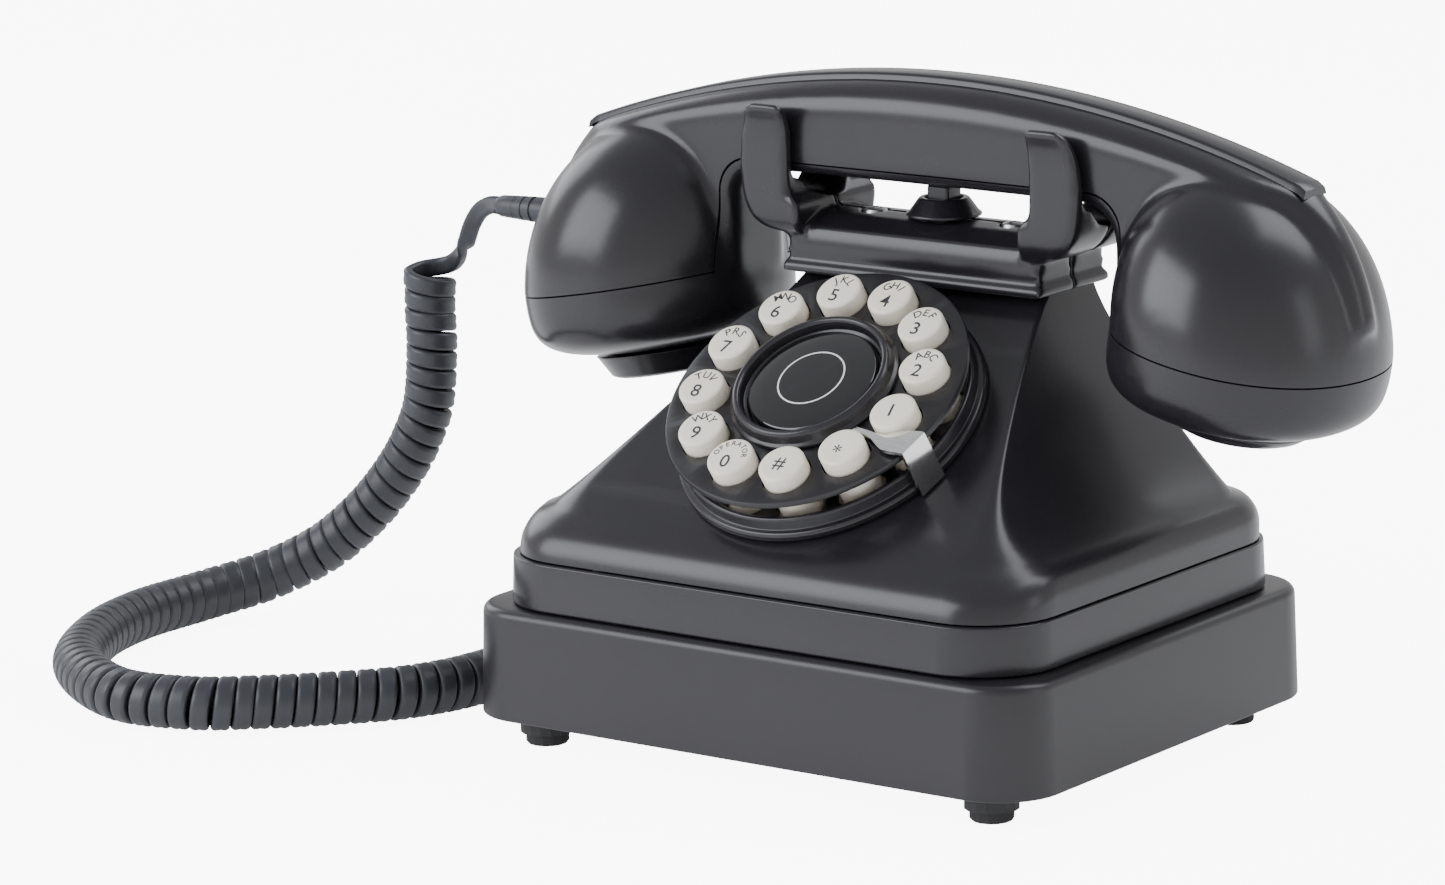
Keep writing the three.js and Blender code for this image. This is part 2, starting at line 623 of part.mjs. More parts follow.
function handsetBody(inset) {
  return join(handle(inset), handsetEnd(-1, inset), handsetEnd(1, inset));
}

// Everything below the seam: under the tilted rings, and just inside the handle's underside.
function belowSeam(drop) {
  const slope = Math.tan(THREE.MathUtils.degToRad(END.tilt));
  const ringHeight = (x) => END.z - (x - END.x) * slope - drop;
  const wallX = HANDSET.innerX + SEAM_RISE - drop;
  const under = HANDSET.under + SEAM_RISE - drop;
  const right = [[0, under]];
  for (let k = 4; k >= 0; k--) {
    const a = (k / 4) * (Math.PI / 2);
    const r = HANDSET.corner;
    right.push([wallX - r * (1 - Math.cos(a)), under - r * (1 - Math.sin(a))]);
  }
  right.push([wallX, ringHeight(wallX)], [130, ringHeight(130)], [130, 60]);
  const left = right.slice(1).reverse().map(([x, z]) => [-x, z]);
  const shape = new THREE.Shape([...right, ...left].reverse().map(([x, z]) => new THREE.Vector2(x, z)));
  return acrossY(shape, CENTRE_Y - 60, CENTRE_Y + 60);
}

function handsetUpperShell() {
  const hollow = handsetBody(HANDSET_WALL);
  return cut(handsetBody(0), hollow, belowSeam(0), reliefHole());
}

function handsetLowerShell() {
  const wall = cut(handsetBody(0), handsetBody(HANDSET_WALL)).intersect(belowSeam(GAP));
  return cut(wall, ...[-1, 1].map((side) => atFace(rod(15, -END.panDepth - 2, -END.panDepth + 6, 20), side)));
}

// Moves a solid from an end's own frame (seam centre, +Z towards the dome) to its place.
function atFace(body, side) {
  return body.rotate([0, side * END.tilt, 0]).translate([side * END.x, CENTRE_Y, END.z]);
}

function faceCap() {
  const low = -END.panDepth - GAP;
  const cup = turned([
    [0, low - 3.2], [13.6, low - 3.2], [15, low - 2.8], [18.6, low], [14.6, low], [14.6, low + 3], [12.8, low + 3],
    [12.8, low - 0.4], [11.8, low - 1.2], [0, low - 1.2],
  ], 20);
  const slots = [-8, -4, 0, 4, 8].map((y) => box(Math.sqrt(100 - y * y) * 1.7, 1.5, 6, 0, y, low - 3));
  return cut(cup, ...slots);
}

function capsule() {
  return turned([[0, -15.2], [9, -15.2], [10.5, -14.2], [10.5, -10.6], [16, -9.6], [16, -7], [9, -5], [0, -5]], 16);
}

function handsetWeight() {
  return box(64, 14, 8, 0, CENTRE_Y, 144.4);
}

// Raised strip along the top of the handle, with a softened upper edge.
function spineStrip() {
  const { reach, halfWidth: w, height } = SPINE;
  const rings = [];
  for (let k = 8; k >= -8; k--) {
    const x = (k / 8) * reach;
    const low = topProfile(x) + GAP;
    const high = topProfile(x) + height;
    const section = [[-w, low], [-w, high - 0.4], [-w + 0.5, high], [w - 0.5, high], [w, high - 0.4], [w, low]];
    rings.push(section.map(([y, z]) => new THREE.Vector3(x, CENTRE_Y + y, z)));
  }
  return loft(rings);
}

// The strain relief's hole through the dome, along X at its own height.
function alongMinusX(body) {
  return body.rotate([0, -90, 0]).translate([0, CENTRE_Y, 112.2]);
}

const reliefHole = () => alongMinusX(rod(3.6, 100, 125, 14));

function strainRelief() {
  return alongMinusX(turned([
    [0, 107], [4.4, 107], [4.4, 109.4], [3.2, 109.4], [3.2, 122], [2.7, 135.6], [2.2, 135.9], [0, 135.9],
  ], 14));
}

// ---- cord ----

function modularPlug() {
  const body = box(15.6, 9.2, 6.2, 0, 0, 0);
  const latch = box(9, 2.6, 1, -1.5, 0, -3.4);
  const mouth = box(3, 5, 3, -7.8, 0, 0);
  return shift(cut(join(body, latch), mouth), -PLINTH.width / 2 - 1.6, JACK.y, JACK.z);
}

// ---- assembly ----

add('plinth_shell', plinthShell(), shellBlack);
add('bottom_plate', bottomPlate(), innerBlack);
const FOOT_NAMES = ['front_left', 'front_right', 'rear_left', 'rear_right'];
footPlaces().forEach(([x, y], i) => add(`foot_pad_${FOOT_NAMES[i]}`, footPad(), rubber).position.set(x, y, 0));
bottomScrewPlaces().forEach(([x, y], i) => {
  add(`bottom_screw_${FOOT_NAMES[i]}`, panScrew(11), steel).position.set(x, y, 5.6);
});
add('lower_housing', lowerHousing(), shellBlack);
add('housing_cover', housingCover(), shellBlack);
add('main_board', mainBoard(), boardGreen);
add('ballast_weight', ballastWeight(), steel);
add('ringer_speaker', ringerSpeaker(), innerBlack);
add('handset_jack', modularJack(), innerBlack).position.set(-PLINTH.width / 2 + 0.8, JACK.y, JACK.z);
const lineJack = add('line_jack', modularJack(), innerBlack);
lineJack.position.set(LINE_JACK_X, PLINTH.depth / 2 - 0.8, JACK.z);
lineJack.rotation.z = -Math.PI / 2;

add('cradle_front', cradleHalf(false), shellBlack);
add('cradle_rear', cradleHalf(true), shellBlack);
screwPlaces().forEach((x, i) => {
  const screw = add(`cradle_screw_${['left', 'right'][i]}`, cradleScrew(), steel);
  screw.position.set(x, CENTRE_Y, 120.6);
});
add('plunger_collar', plungerCollar(), shellBlack);
add('hook_plunger', hookPlunger(), shellBlack);
add('plunger_spring', plungerSpring(), steel);
add('hook_switch', hookSwitch(), innerBlack);

const dial = new THREE.Group();
dial.position.set(0, DIAL.y, DIAL.z);
dial.rotation.x = THREE.MathUtils.degToRad(DIAL.tilt);
phone.add(dial);
add('dial_base', dialBase(), shellBlack, dial);
add('finger_plate', fingerPlate(), shellBlack, dial);
add('centre_ring', centreRing(), shellBlack, dial);
add('centre_disc', centreDisc(), glossBlack, dial);
add('finger_stop', fingerStop(), chrome, dial);
add('keypad_mat', keypadMat(), rubber, dial);
add('keypad_board', keypadBoard(), boardGreen, dial);
KEY_NAMES.forEach((name, i) => {
  const [x, y] = keyPlace(i);
  add(`button_${name}`, keyCap(), keyCream, dial).position.set(x, y, 0);
});

add('handset_upper_shell', handsetUpperShell(), shellBlack);
add('handset_lower_shell', handsetLowerShell(), shellBlack);
add('handset_spine', spineStrip(), shellBlack);
add('mouthpiece_cap', atFace(faceCap(), -1), shellBlack);
add('earpiece_cap', atFace(faceCap(), 1), shellBlack);
add('microphone_capsule', atFace(capsule(), -1), steel);
add('receiver_capsule', atFace(capsule(), 1), steel);
add('handset_weight', handsetWeight(), steel);
add('strain_relief', strainRelief(), cordSlate);

add('cord_lead', tube(LEAD_ROUTE, CORD.diameter / 2, 8, 12), cordSlate);
add('cord_coil', tube(COIL_ROUTE, CORD.coilDiameter / 2, 8, 38), cordSlate);
add('cord_tail', tube(TAIL_ROUTE, CORD.diameter / 2, 8, 12), cordSlate);
add('modular_plug', modularPlug(), clearPlug);

export default phone;
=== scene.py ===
# Push-button desk telephone in a vintage style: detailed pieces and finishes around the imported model.
# Shapes are made in millimetres and turned into metres when a piece is finished.
import math

import bmesh
import bpy
from mathutils import Matrix, Vector


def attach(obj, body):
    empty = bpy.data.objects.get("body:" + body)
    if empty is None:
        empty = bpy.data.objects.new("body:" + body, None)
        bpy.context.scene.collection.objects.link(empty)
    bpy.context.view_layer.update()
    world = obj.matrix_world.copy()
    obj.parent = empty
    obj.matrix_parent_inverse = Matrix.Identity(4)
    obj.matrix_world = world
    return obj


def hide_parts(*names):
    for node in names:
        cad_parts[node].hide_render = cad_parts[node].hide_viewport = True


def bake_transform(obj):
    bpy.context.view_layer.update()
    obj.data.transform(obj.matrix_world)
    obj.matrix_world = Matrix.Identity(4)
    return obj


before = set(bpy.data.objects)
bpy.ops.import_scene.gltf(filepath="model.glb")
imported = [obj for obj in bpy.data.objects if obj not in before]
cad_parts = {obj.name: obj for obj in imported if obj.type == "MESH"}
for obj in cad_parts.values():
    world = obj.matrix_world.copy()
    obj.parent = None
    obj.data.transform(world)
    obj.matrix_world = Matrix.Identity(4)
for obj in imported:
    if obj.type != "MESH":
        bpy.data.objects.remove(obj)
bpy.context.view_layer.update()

mm = 0.001       # metres
midY = 25.1      # middle plane of the neck, cradle and handset
gap = 0.3        # between pieces that touch
wall = 2.4       # moulded wall thickness
leastRadius = 0.6   # of any corner seen from above
quarter = 90     # degrees in a quarter turn

print("frame loaded:", len(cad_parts), "nodes")

# camera first, then the cord

camera = {
    "lens": 155.34,
    "sensor": 36,
    "azimuth": 36.5,
    "elevation": 12.17,
    "roll": -1.1,
    "distance": 1.5122,
    "target": (-0.04874, 0, 0.06543),
}


def placeCamera():
    az, el = math.radians(camera["azimuth"]), math.radians(camera["elevation"])
    back = Vector((math.sin(az) * math.cos(el), -math.cos(az) * math.cos(el), math.sin(el)))
    right = (-back).cross(Vector((0, 0, 1))).normalized()
    up = right.cross(-back)
    roll = Matrix.Rotation(math.radians(camera["roll"]), 4, "Z")
    turn = Matrix((right, up, back)).transposed().to_4x4() @ roll
    data = bpy.data.cameras.new("camera")
    data.lens = camera["lens"]
    data.sensor_width = camera["sensor"]
    data.clip_end = 100
    obj = bpy.data.objects.new("camera", data)
    obj.matrix_world = Matrix.Translation(Vector(camera["target"]) + back * camera["distance"]) @ turn
    bpy.context.scene.collection.objects.link(obj)
    bpy.context.scene.camera = obj


placeCamera()

# materials


def newMaterial(name, roughness, metallic=0.0):
    material = bpy.data.materials.new(name)
    material.use_nodes = True
    shader = material.node_tree.nodes["Principled BSDF"]
    shader.inputs["Roughness"].default_value = roughness
    shader.inputs["Metallic"].default_value = metallic
    return material, material.node_tree, shader


def objectNoise(tree, scale, detail=3.0, squeeze=(1, 1, 1)):
    place = tree.nodes.new("ShaderNodeTexCoord")
    mapping = tree.nodes.new("ShaderNodeMapping")
    mapping.inputs["Scale"].default_value = squeeze
    noise = tree.nodes.new("ShaderNodeTexNoise")
    noise.inputs["Scale"].default_value = scale
    noise.inputs["Detail"].default_value = detail
    tree.links.new(place.outputs["Object"], mapping.inputs["Vector"])
    tree.links.new(mapping.outputs["Vector"], noise.inputs["Vector"])
    return noise.outputs["Fac"]


def ramp(tree, value, low, high, start=0.3, end=0.7):
    node = tree.nodes.new("ShaderNodeValToRGB")
    node.color_ramp.elements[0].position = start
    node.color_ramp.elements[1].position = end
    node.color_ramp.elements[0].color = (*low, 1)
    node.color_ramp.elements[1].color = (*high, 1)
    tree.links.new(value, node.inputs["Fac"])
    return node.outputs["Color"]


def spread(tree, value, low, high):
    node = tree.nodes.new("ShaderNodeMapRange")
    node.inputs["To Min"].default_value = low
    node.inputs["To Max"].default_value = high
    tree.links.new(value, node.inputs["Value"])
    return node.outputs["Result"]


def bump(tree, shader, value, strength, distance):
    node = tree.nodes.new("ShaderNodeBump")
    node.inputs["Strength"].default_value = strength
    node.inputs["Distance"].default_value = distance
    tree.links.new(value, node.inputs["Height"])
    tree.links.new(node.outputs["Normal"], shader.inputs["Normal"])


def edgeWear(tree, color, worn, amount):
    # convex edges catch a little polish and go lighter
    geometry = tree.nodes.new("ShaderNodeNewGeometry")
    edge = tree.nodes.new("ShaderNodeMapRange")
    edge.inputs["From Min"].default_value = 0.52
    edge.inputs["From Max"].default_value = 0.62
    edge.inputs["To Max"].default_value = amount
    mix = tree.nodes.new("ShaderNodeMix")
    mix.data_type = "RGBA"
    mix.inputs["B"].default_value = (*worn, 1)
    tree.links.new(geometry.outputs["Pointiness"], edge.inputs["Value"])
    tree.links.new(edge.outputs["Result"], mix.inputs["Factor"])
    tree.links.new(color, mix.inputs["A"])
    return mix.outputs["Result"]


def plastic(name, look):
    material, tree, shader = newMaterial(name, look["roughness"])
    patch = objectNoise(tree, look["patchScale"], 4)
    grain = objectNoise(tree, look["grainScale"], 2)
    color = ramp(tree, patch, look["dark"], look["light"])
    tree.links.new(edgeWear(tree, color, look["worn"], look["wear"]), shader.inputs["Base Color"])
    rough = spread(tree, patch, look["roughness"] - look["polish"], look["roughness"] + look["polish"])
    tree.links.new(rough, shader.inputs["Roughness"])
    bump(tree, shader, grain, look["grainStrength"], look["grainDepth"])
    shader.inputs["Coat Weight"].default_value = look["coat"]
    shader.inputs["Coat Roughness"].default_value = look["coatRoughness"]
    return material


def metal(name, look):
    material, tree, shader = newMaterial(name, look["roughness"], 1.0)
    streak = objectNoise(tree, look["streakScale"], 3, look["squeeze"])
    tree.links.new(ramp(tree, streak, look["dark"], look["light"]), shader.inputs["Base Color"])
    rough = spread(tree, streak, look["roughness"] * 0.7, look["roughness"] * 1.4)
    tree.links.new(rough, shader.inputs["Roughness"])
    bump(tree, shader, streak, look["streakStrength"], 0.00005)
    return material


shellLook = {
    "dark": (0.0125, 0.0117, 0.0146), "light": (0.016, 0.0149, 0.0184), "worn": (0.04, 0.038, 0.045),
    "wear": 0.35, "roughness": 0.25, "polish": 0.035, "patchScale": 26, "grainScale": 2600,
    "grainStrength": 0.05, "grainDepth": 0.00004, "coat": 0.0, "coatRoughness": 0.2,
}
shellBlack = plastic("shellBlack", shellLook)
plinthBlack = plastic("plinthBlack", {
    **shellLook, "dark": (0.0115, 0.0106, 0.0132), "light": (0.0145, 0.0134, 0.0165), "roughness": 0.34,
    "grainStrength": 0.08,
})
discBlack = plastic("discBlack", {
    **shellLook, "dark": (0.004, 0.004, 0.0045), "light": (0.006, 0.006, 0.0065), "wear": 0.1,
    "roughness": 0.08, "polish": 0.02, "grainStrength": 0.01, "coat": 0.5, "coatRoughness": 0.03,
})
plateBlack = plastic("plateBlack", {
    **shellLook, "dark": (0.0075, 0.0072, 0.0085), "light": (0.0095, 0.009, 0.011), "roughness": 0.3,
})
innerBlack = plastic("innerBlack", {
    **shellLook, "dark": (0.012, 0.012, 0.013), "light": (0.02, 0.02, 0.021), "roughness": 0.55,
    "grainStrength": 0.2,
})
keyCream = plastic("keyCream", {
    **shellLook, "dark": (0.87, 0.80, 0.67), "light": (0.91, 0.85, 0.735), "worn": (0.92, 0.88, 0.8),
    "wear": 0.4, "roughness": 0.34, "polish": 0.05, "patchScale": 160, "grainStrength": 0.04,
})
legendInk = plastic("legendInk", {
    **shellLook, "dark": (0.018, 0.019, 0.023), "light": (0.032, 0.033, 0.038), "worn": (0.06, 0.06, 0.065),
    "wear": 0.2, "roughness": 0.5, "patchScale": 900,
})
markWhite = plastic("markWhite", {
    **shellLook, "dark": (0.74, 0.74, 0.73), "light": (0.82, 0.82, 0.81), "worn": (0.85, 0.85, 0.84),
    "roughness": 0.35, "patchScale": 400,
})
footRubber = plastic("footRubber", {
    **shellLook, "dark": (0.012, 0.012, 0.013), "light": (0.022, 0.022, 0.023), "roughness": 0.75,
    "grainStrength": 0.35, "grainScale": 1800,
})
boardGreen = plastic("boardGreen", {
    **shellLook, "dark": (0.012, 0.09, 0.035), "light": (0.02, 0.13, 0.05), "roughness": 0.4,
    "patchScale": 120, "grainStrength": 0.1,
})
cordLook = {
    **shellLook, "dark": (0.022, 0.0245, 0.030), "light": (0.030, 0.0325, 0.0395),
    "worn": (0.055, 0.058, 0.068), "wear": 0.25, "roughness": 0.42, "polish": 0.06, "patchScale": 60,
    "grainScale": 3200, "grainStrength": 0.12,
}
cordSlate = plastic("cordSlate", cordLook)
chrome = metal("chrome", {
    "dark": (0.78, 0.775, 0.76), "light": (0.9, 0.895, 0.88), "roughness": 0.13, "streakScale": 420,
    "squeeze": (1, 6, 1), "streakStrength": 0.03,
})
steel = metal("steel", {
    "dark": (0.42, 0.42, 0.43), "light": (0.62, 0.62, 0.63), "roughness": 0.34, "streakScale": 700,
    "squeeze": (1, 1, 5), "streakStrength": 0.12,
})
iron = metal("iron", {
    "dark": (0.12, 0.12, 0.125), "light": (0.22, 0.22, 0.225), "roughness": 0.62, "streakScale": 300,
    "squeeze": (1, 1, 1), "streakStrength": 0.5,
})


def clearPlastic():
    material, tree, shader = newMaterial("plugClear", 0.12)
    haze = objectNoise(tree, 300)
    tree.links.new(ramp(tree, haze, (0.72, 0.75, 0.78), (0.84, 0.86, 0.88)), shader.inputs["Base Color"])
    tree.links.new(spread(tree, haze, 0.08, 0.2), shader.inputs["Roughness"])
    shader.inputs["Transmission Weight"].default_value = 0.75
    shader.inputs["IOR"].default_value = 1.49
    return material


plugClear = clearPlastic()
print("materials made")

# mesh work


def ringLoop(bm, ring):
    loop = [bm.verts.new(p) for p in ring]
    for i in range(len(loop)):
        bm.edges.new((loop[i - 1], loop[i]))
    return loop


def grow(bm, loop, ring):
    # extrudes the open rim and sets the new rim on the next ring
    edges = [bm.edges.get((loop[i - 1], loop[i])) for i in range(len(loop))]
    made = bmesh.ops.extrude_edge_only(bm, edges=edges)["geom"]
    fresh = {g for g in made if isinstance(g, bmesh.types.BMVert)}
    rim = [next(e.other_vert(v) for e in v.link_edges if e.other_vert(v) in fresh) for v in loop]
    for v, place in zip(rim, ring):
        v.co = place
    return rim


def skin(rings):
    bm = bmesh.new()
    loop = ringLoop(bm, rings[0])
    for ring in rings[1:]:
        loop = grow(bm, loop, ring)
    bmesh.ops.holes_fill(bm, edges=bm.edges, sides=0)
    bmesh.ops.recalc_face_normals(bm, faces=bm.faces)
    return bm


def turned(profile, steps=96):
    bm = bmesh.new()
    points = [bm.verts.new((r, 0, z)) for r, z in profile]
    edges = [bm.edges.new(pair) for pair in zip(points, points[1:])]
    bmesh.ops.spin(bm, geom=points + edges, cent=(0, 0, 0), axis=(0, 0, 1), angle=2 * math.pi,
                   steps=steps, use_merge=True)
    bmesh.ops.remove_doubles(bm, verts=bm.verts, dist=0.0005)
    bmesh.ops.recalc_face_normals(bm, faces=bm.faces)
    return bm


def rod(radius, low, high, at=(0, 0), steps=48):
    bm = bmesh.new()
    bmesh.ops.create_cone(bm, cap_ends=True, segments=steps, radius1=radius, radius2=radius,
                          depth=high - low, matrix=Matrix.Translation((*at, (low + high) / 2)))
    return bm


def block(size, at=(0, 0, 0)):
    bm = bmesh.new()
    bmesh.ops.create_cube(bm, size=1, matrix=Matrix.Translation(at) @ Matrix.Diagonal((*size, 1)))
    return bm


def soften(bm, width, angle=30, segments=2):
    edges = [e for e in bm.edges if e.is_manifold and e.calc_face_angle(0) > math.radians(angle)]
    bmesh.ops.bevel(bm, geom=edges, offset=width, offset_type="OFFSET", segments=segments, profile=0.5,
                    affect="EDGES", clamp_overlap=True, material=-1)
    return bm


def together(*meshes):
    # puts separate bodies in one bmesh
    whole = bmesh.new()
    for bm in meshes:
        mesh = bpy.data.meshes.new("work")
        bm.to_mesh(mesh)
        bm.free()
        whole.from_mesh(mesh)
        bpy.data.meshes.remove(mesh)
    return whole


def carve(bm, tool, operation="DIFFERENCE"):
    works = []
    for part in (bm, tool):
        mesh = bpy.data.meshes.new("work")
        part.to_mesh(mesh)
        part.free()
        works.append(bpy.data.objects.new("work", mesh))
        bpy.context.scene.collection.objects.link(works[-1])
    cutter = works[0].modifiers.new("cut", "BOOLEAN")
    cutter.operation = operation
    cutter.object = works[1]
    cutter.solver = "EXACT"
    bpy.context.view_layer.update()
    result = bmesh.new()
    result.from_object(works[0], bpy.context.evaluated_depsgraph_get())
    for obj in works:
        mesh = obj.data
        bpy.data.objects.remove(obj)
        bpy.data.meshes.remove(mesh)
    bmesh.ops.remove_doubles(result, verts=result.verts, dist=0.002)
    return result


def smooth(bm, verts, rounds):
    for _ in range(rounds):
        bmesh.ops.smooth_vert(bm, verts=verts, factor=0.5, use_axis_x=True, use_axis_y=True, use_axis_z=True)


def melt(bm, cell, rounds, softer=None, extra=0):
    # joins all into one skin of small even faces and rounds its creases, the chosen ones further
    mesh = bpy.data.meshes.new("work")
    bm.to_mesh(mesh)
    bm.free()
    obj = bpy.data.objects.new("work", mesh)
    bpy.context.scene.collection.objects.link(obj)
    mould = obj.modifiers.new("mould", "REMESH")
    mould.mode = "VOXEL"
    mould.voxel_size = cell
    bpy.context.view_layer.update()
    result = bmesh.new()
    result.from_object(obj, bpy.context.evaluated_depsgraph_get())
    bpy.data.objects.remove(obj)
    bpy.data.meshes.remove(mesh)
    smooth(result, result.verts, rounds)
    if softer:
        smooth(result, [v for v in result.verts if softer(v.co)], extra)
    return result


def fromNode(node):
    # a welded copy of a CAD node, flat stretches joined up, in millimetres
    bm = bmesh.new()
    bm.from_mesh(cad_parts[node].data)
    bm.transform(Matrix.Scale(1 / mm, 4))
    bmesh.ops.remove_doubles(bm, verts=bm.verts, dist=0.002)
    bmesh.ops.dissolve_limit(bm, angle_limit=math.radians(0.8), verts=bm.verts, edges=bm.edges)
    return bm


def finishPiece(name, bm, material, body, nodes=(), place=None, sharp=32):
    if place is not None:
        bm.transform(place)
    bm.transform(Matrix.Scale(mm, 4))
    for face in bm.faces:
        face.smooth = True
    for edge in bm.edges:
        edge.smooth = not (edge.is_manifold and edge.calc_face_angle(0) > math.radians(sharp))
    mesh = bpy.data.meshes.new(name)
    bm.to_mesh(mesh)
    bm.free()
    mesh.materials.append(material)
    obj = bpy.data.objects.new(name, mesh)
    bpy.context.scene.collection.objects.link(obj)
    if body is not None:
        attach(obj, body)
    if nodes:
        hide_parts(*nodes)
    return obj


def arc(cx, cy, radius, start, end, steps):
    # points of an arc, angles in degrees
    turns = [math.radians(start + (end - start) * k / steps) for k in range(steps + 1)]
    return [(cx + radius * math.cos(a), cy + radius * math.sin(a)) for a in turns]


def roundedRing(halfWidth, front, rear, radius, z, steps=10):
    corners = ((1, front, -quarter), (1, rear, 0), (-1, rear, quarter), (-1, front, 2 * quarter))
    ring = []
    for side, y, start in corners:
        cx = side * (halfWidth - radius)
        cy = y + radius if y == front else y - radius
        ring += [Vector((*p, z)) for p in arc(cx, cy, radius, start, start + quarter, steps)]
    return ring


# cord: a lead out of the handset, the curly run, and a tail into the plug

cordPiece = {
    "width": 4.6,        # along the coil's axis
    "thick": 2.6,
    "ringRadius": 5.4,   # of the coil's centreline
    "firstLoop": 1.3,    # extra radius of the first loop
    "pitch": 4.8,
    "startAngle": 75,
    "sides": 20,
    "stepsPerTurn": 26,
    "sectionPower": 0.62,  # 1 gives an ellipse, less a boxier cable
    "groove": 0.16,      # share of the thickness
    "grooveHalf": 0.7,
    "leadSpacing": 1.2,  # between points of the lead and the tail
    "joinGap": 0.9,      # left free of points beside the run
    "joinRounds": 14,
    "placeReach": 9,     # points eased on each side of a join
    "wayReach": 12,
    "leadFlat": (0.55, -0.75, 0.35),  # the way the lead's flat side faces
    "lead": [
        (-136.2, 25.1, 112.2), (-138.8, 25.1, 112), (-142.2, 25.2, 110.2), (-145.4, 25.8, 106.4),
        (-148.2, 27.2, 102.2), (-151.4, 29.6, 98.8), (-155, 32.2, 96.2),
    ],
    "axis": [
        (-160.2, 27, 93), (-160.9, 27, 84), (-160.7, 27, 73.3), (-162.2, 27, 58.8), (-166, 26.3, 48.6),
        (-171.5, 25, 39.2), (-179.5, 22, 28.8), (-190.5, 17.6, 18.6), (-203, 9.4, 11.2), (-212.2, -6, 7.7),
        (-213.2, -30, 7.3), (-206.4, -54, 7.3), (-190.5, -78, 7.3), (-164, -93.6, 7.3), (-143, -91.2, 7.3),
        (-129.6, -82, 7.3), (-117.4, -70.4, 7.3), (-106.4, -57.4, 7.3), (-100.4, -43.6, 7.3),
        (-98.2, -29, 7.3),
    ],
    "tail": [
        (-99.6, -15, 9.6), (-100, -8.6, 13), (-97.8, -4.2, 15.8), (-94.6, -2.6, 16.5), (-92.0, -2.5, 16.5),
    ],
}


def smoothLine(points, spacing):
    # even points on a Catmull-Rom curve through the given ones
    knots = [Vector(p) for p in points]
    knots = [2 * knots[0] - knots[1], *knots, 2 * knots[-1] - knots[-2]]
    dense = []
    for a, b, c, d in zip(knots, knots[1:], knots[2:], knots[3:]):
        for k in range(40):
            t = k / 40
            dense.append(0.5 * ((2 * b) + (c - a) * t + (2 * a - 5 * b + 4 * c - d) * t * t
                                + (3 * b - a - 3 * c + d) * t ** 3))
    dense.append(knots[-2])
    lengths = [0]
    for a, b in zip(dense, dense[1:]):
        lengths.append(lengths[-1] + (b - a).length)
    count = max(2, round(lengths[-1] / spacing))
    line, i = [], 0
    for k in range(count + 1):
        want = lengths[-1] * k / count
        while i < len(dense) - 2 and lengths[i + 1] < want:
            i += 1
        share = (want - lengths[i]) / max(lengths[i + 1] - lengths[i], 1e-9)
        line.append(dense[i].lerp(dense[i + 1], min(max(share, 0), 1)))
    return line


def carriedFrames(line, side):
    # a side vector carried along the line without twist
    frames = []
    for i, point in enumerate(line):
        ahead = (line[min(i + 1, len(line) - 1)] - line[max(i - 1, 0)]).normalized()
        side = (side - ahead * side.dot(ahead)).normalized()
        frames.append((point, ahead, side))
    return frames


def coilRun():
    # a helix wound about the axis line: places and the way out from the axis at each
    d = cordPiece
    axis = smoothLine(d["axis"], d["pitch"] / d["stepsPerTurn"])
    run = []
    for i, (point, ahead, side) in enumerate(carriedFrames(axis, Vector((1, 0, 0)))):
        a = math.radians(d["startAngle"]) + 2 * math.pi * i / d["stepsPerTurn"]
        outward = side * math.cos(a) + side.cross(ahead) * math.sin(a)
        wide = d["firstLoop"] * max(1 - i / d["stepsPerTurn"], 0) ** 2
        run.append((point + outward * (d["ringRadius"] + wide), outward))
    return run


def cordPath():
    # the whole centreline and its flat side's way, from the handset to the plug
    d = cordPiece
    run = coilRun()
    first, last = run[0][0], run[-1][0]
    into = smoothLine([*d["lead"], first], d["leadSpacing"])
    into = [p for p in into if (p - first).length > d["joinGap"]]
    out = smoothLine([last, *d["tail"]], d["leadSpacing"])
    out = [p for p in out if (p - last).length > d["joinGap"]]
    flat = Vector(d["leadFlat"])
    places = into + [p for p, _ in run] + out
    ways = [flat.lerp(run[0][1], (i / len(into)) ** 3) for i in range(len(into))]
    ways += [way for _, way in run]
    ways += [run[-1][1].lerp(Vector((0, 0, 1)), i / len(out)) for i in range(len(out))]
    joins = (len(into), len(into) + len(run))
    return relaxed(places, joins, d["placeReach"]), relaxed(ways, joins, d["wayReach"])


def relaxed(points, joins, reach):
    # evens out the joins between the straight stretches and the turns
    line = [p.copy() for p in points]
    for _ in range(cordPiece["joinRounds"]):
        eased = [p.copy() for p in line]
        for i in range(1, len(line) - 1):
            if min(abs(i - j) for j in joins) <= reach:
                eased[i] = (line[i - 1] + 2 * line[i] + line[i + 1]) / 4
        line = eased
    return line


def cordTube():
    # a flat cable: wide along the coil's axis, thin outwards, with a groove along its middle
    d = cordPiece
    path, ways = cordPath()
    rings = []
    for i, (point, way) in enumerate(zip(path, ways)):
        ahead = (path[min(i + 1, len(path) - 1)] - path[max(i - 1, 0)]).normalized()
        out = (way - ahead * way.dot(ahead)).normalized()
        along = ahead.cross(out)
        ring = []
        for k in range(d["sides"]):
            a = 2 * math.pi * k / d["sides"]
            c, s = math.cos(a), math.sin(a)
            w = math.copysign(abs(c) ** d["sectionPower"], c) * d["width"] / 2
            t = math.copysign(abs(s) ** d["sectionPower"], s) * d["thick"] / 2
            t *= 1 - d["groove"] * max(1 - abs(w) / d["grooveHalf"], 0)
            ring.append(point + along * w + out * t)
        rings.append(ring)
    tube = finishPiece("curly_cord", skin(rings), cordSlate, None,
                       ["cord_lead", "cord_coil", "cord_tail"], sharp=80)
    length = sum((b - a).length for a, b in zip(path, path[1:])) * mm
    print("cord length", round(length, 3))
    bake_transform(tube)
    return tube, path, length


tube, path, length = cordTube()

# handset

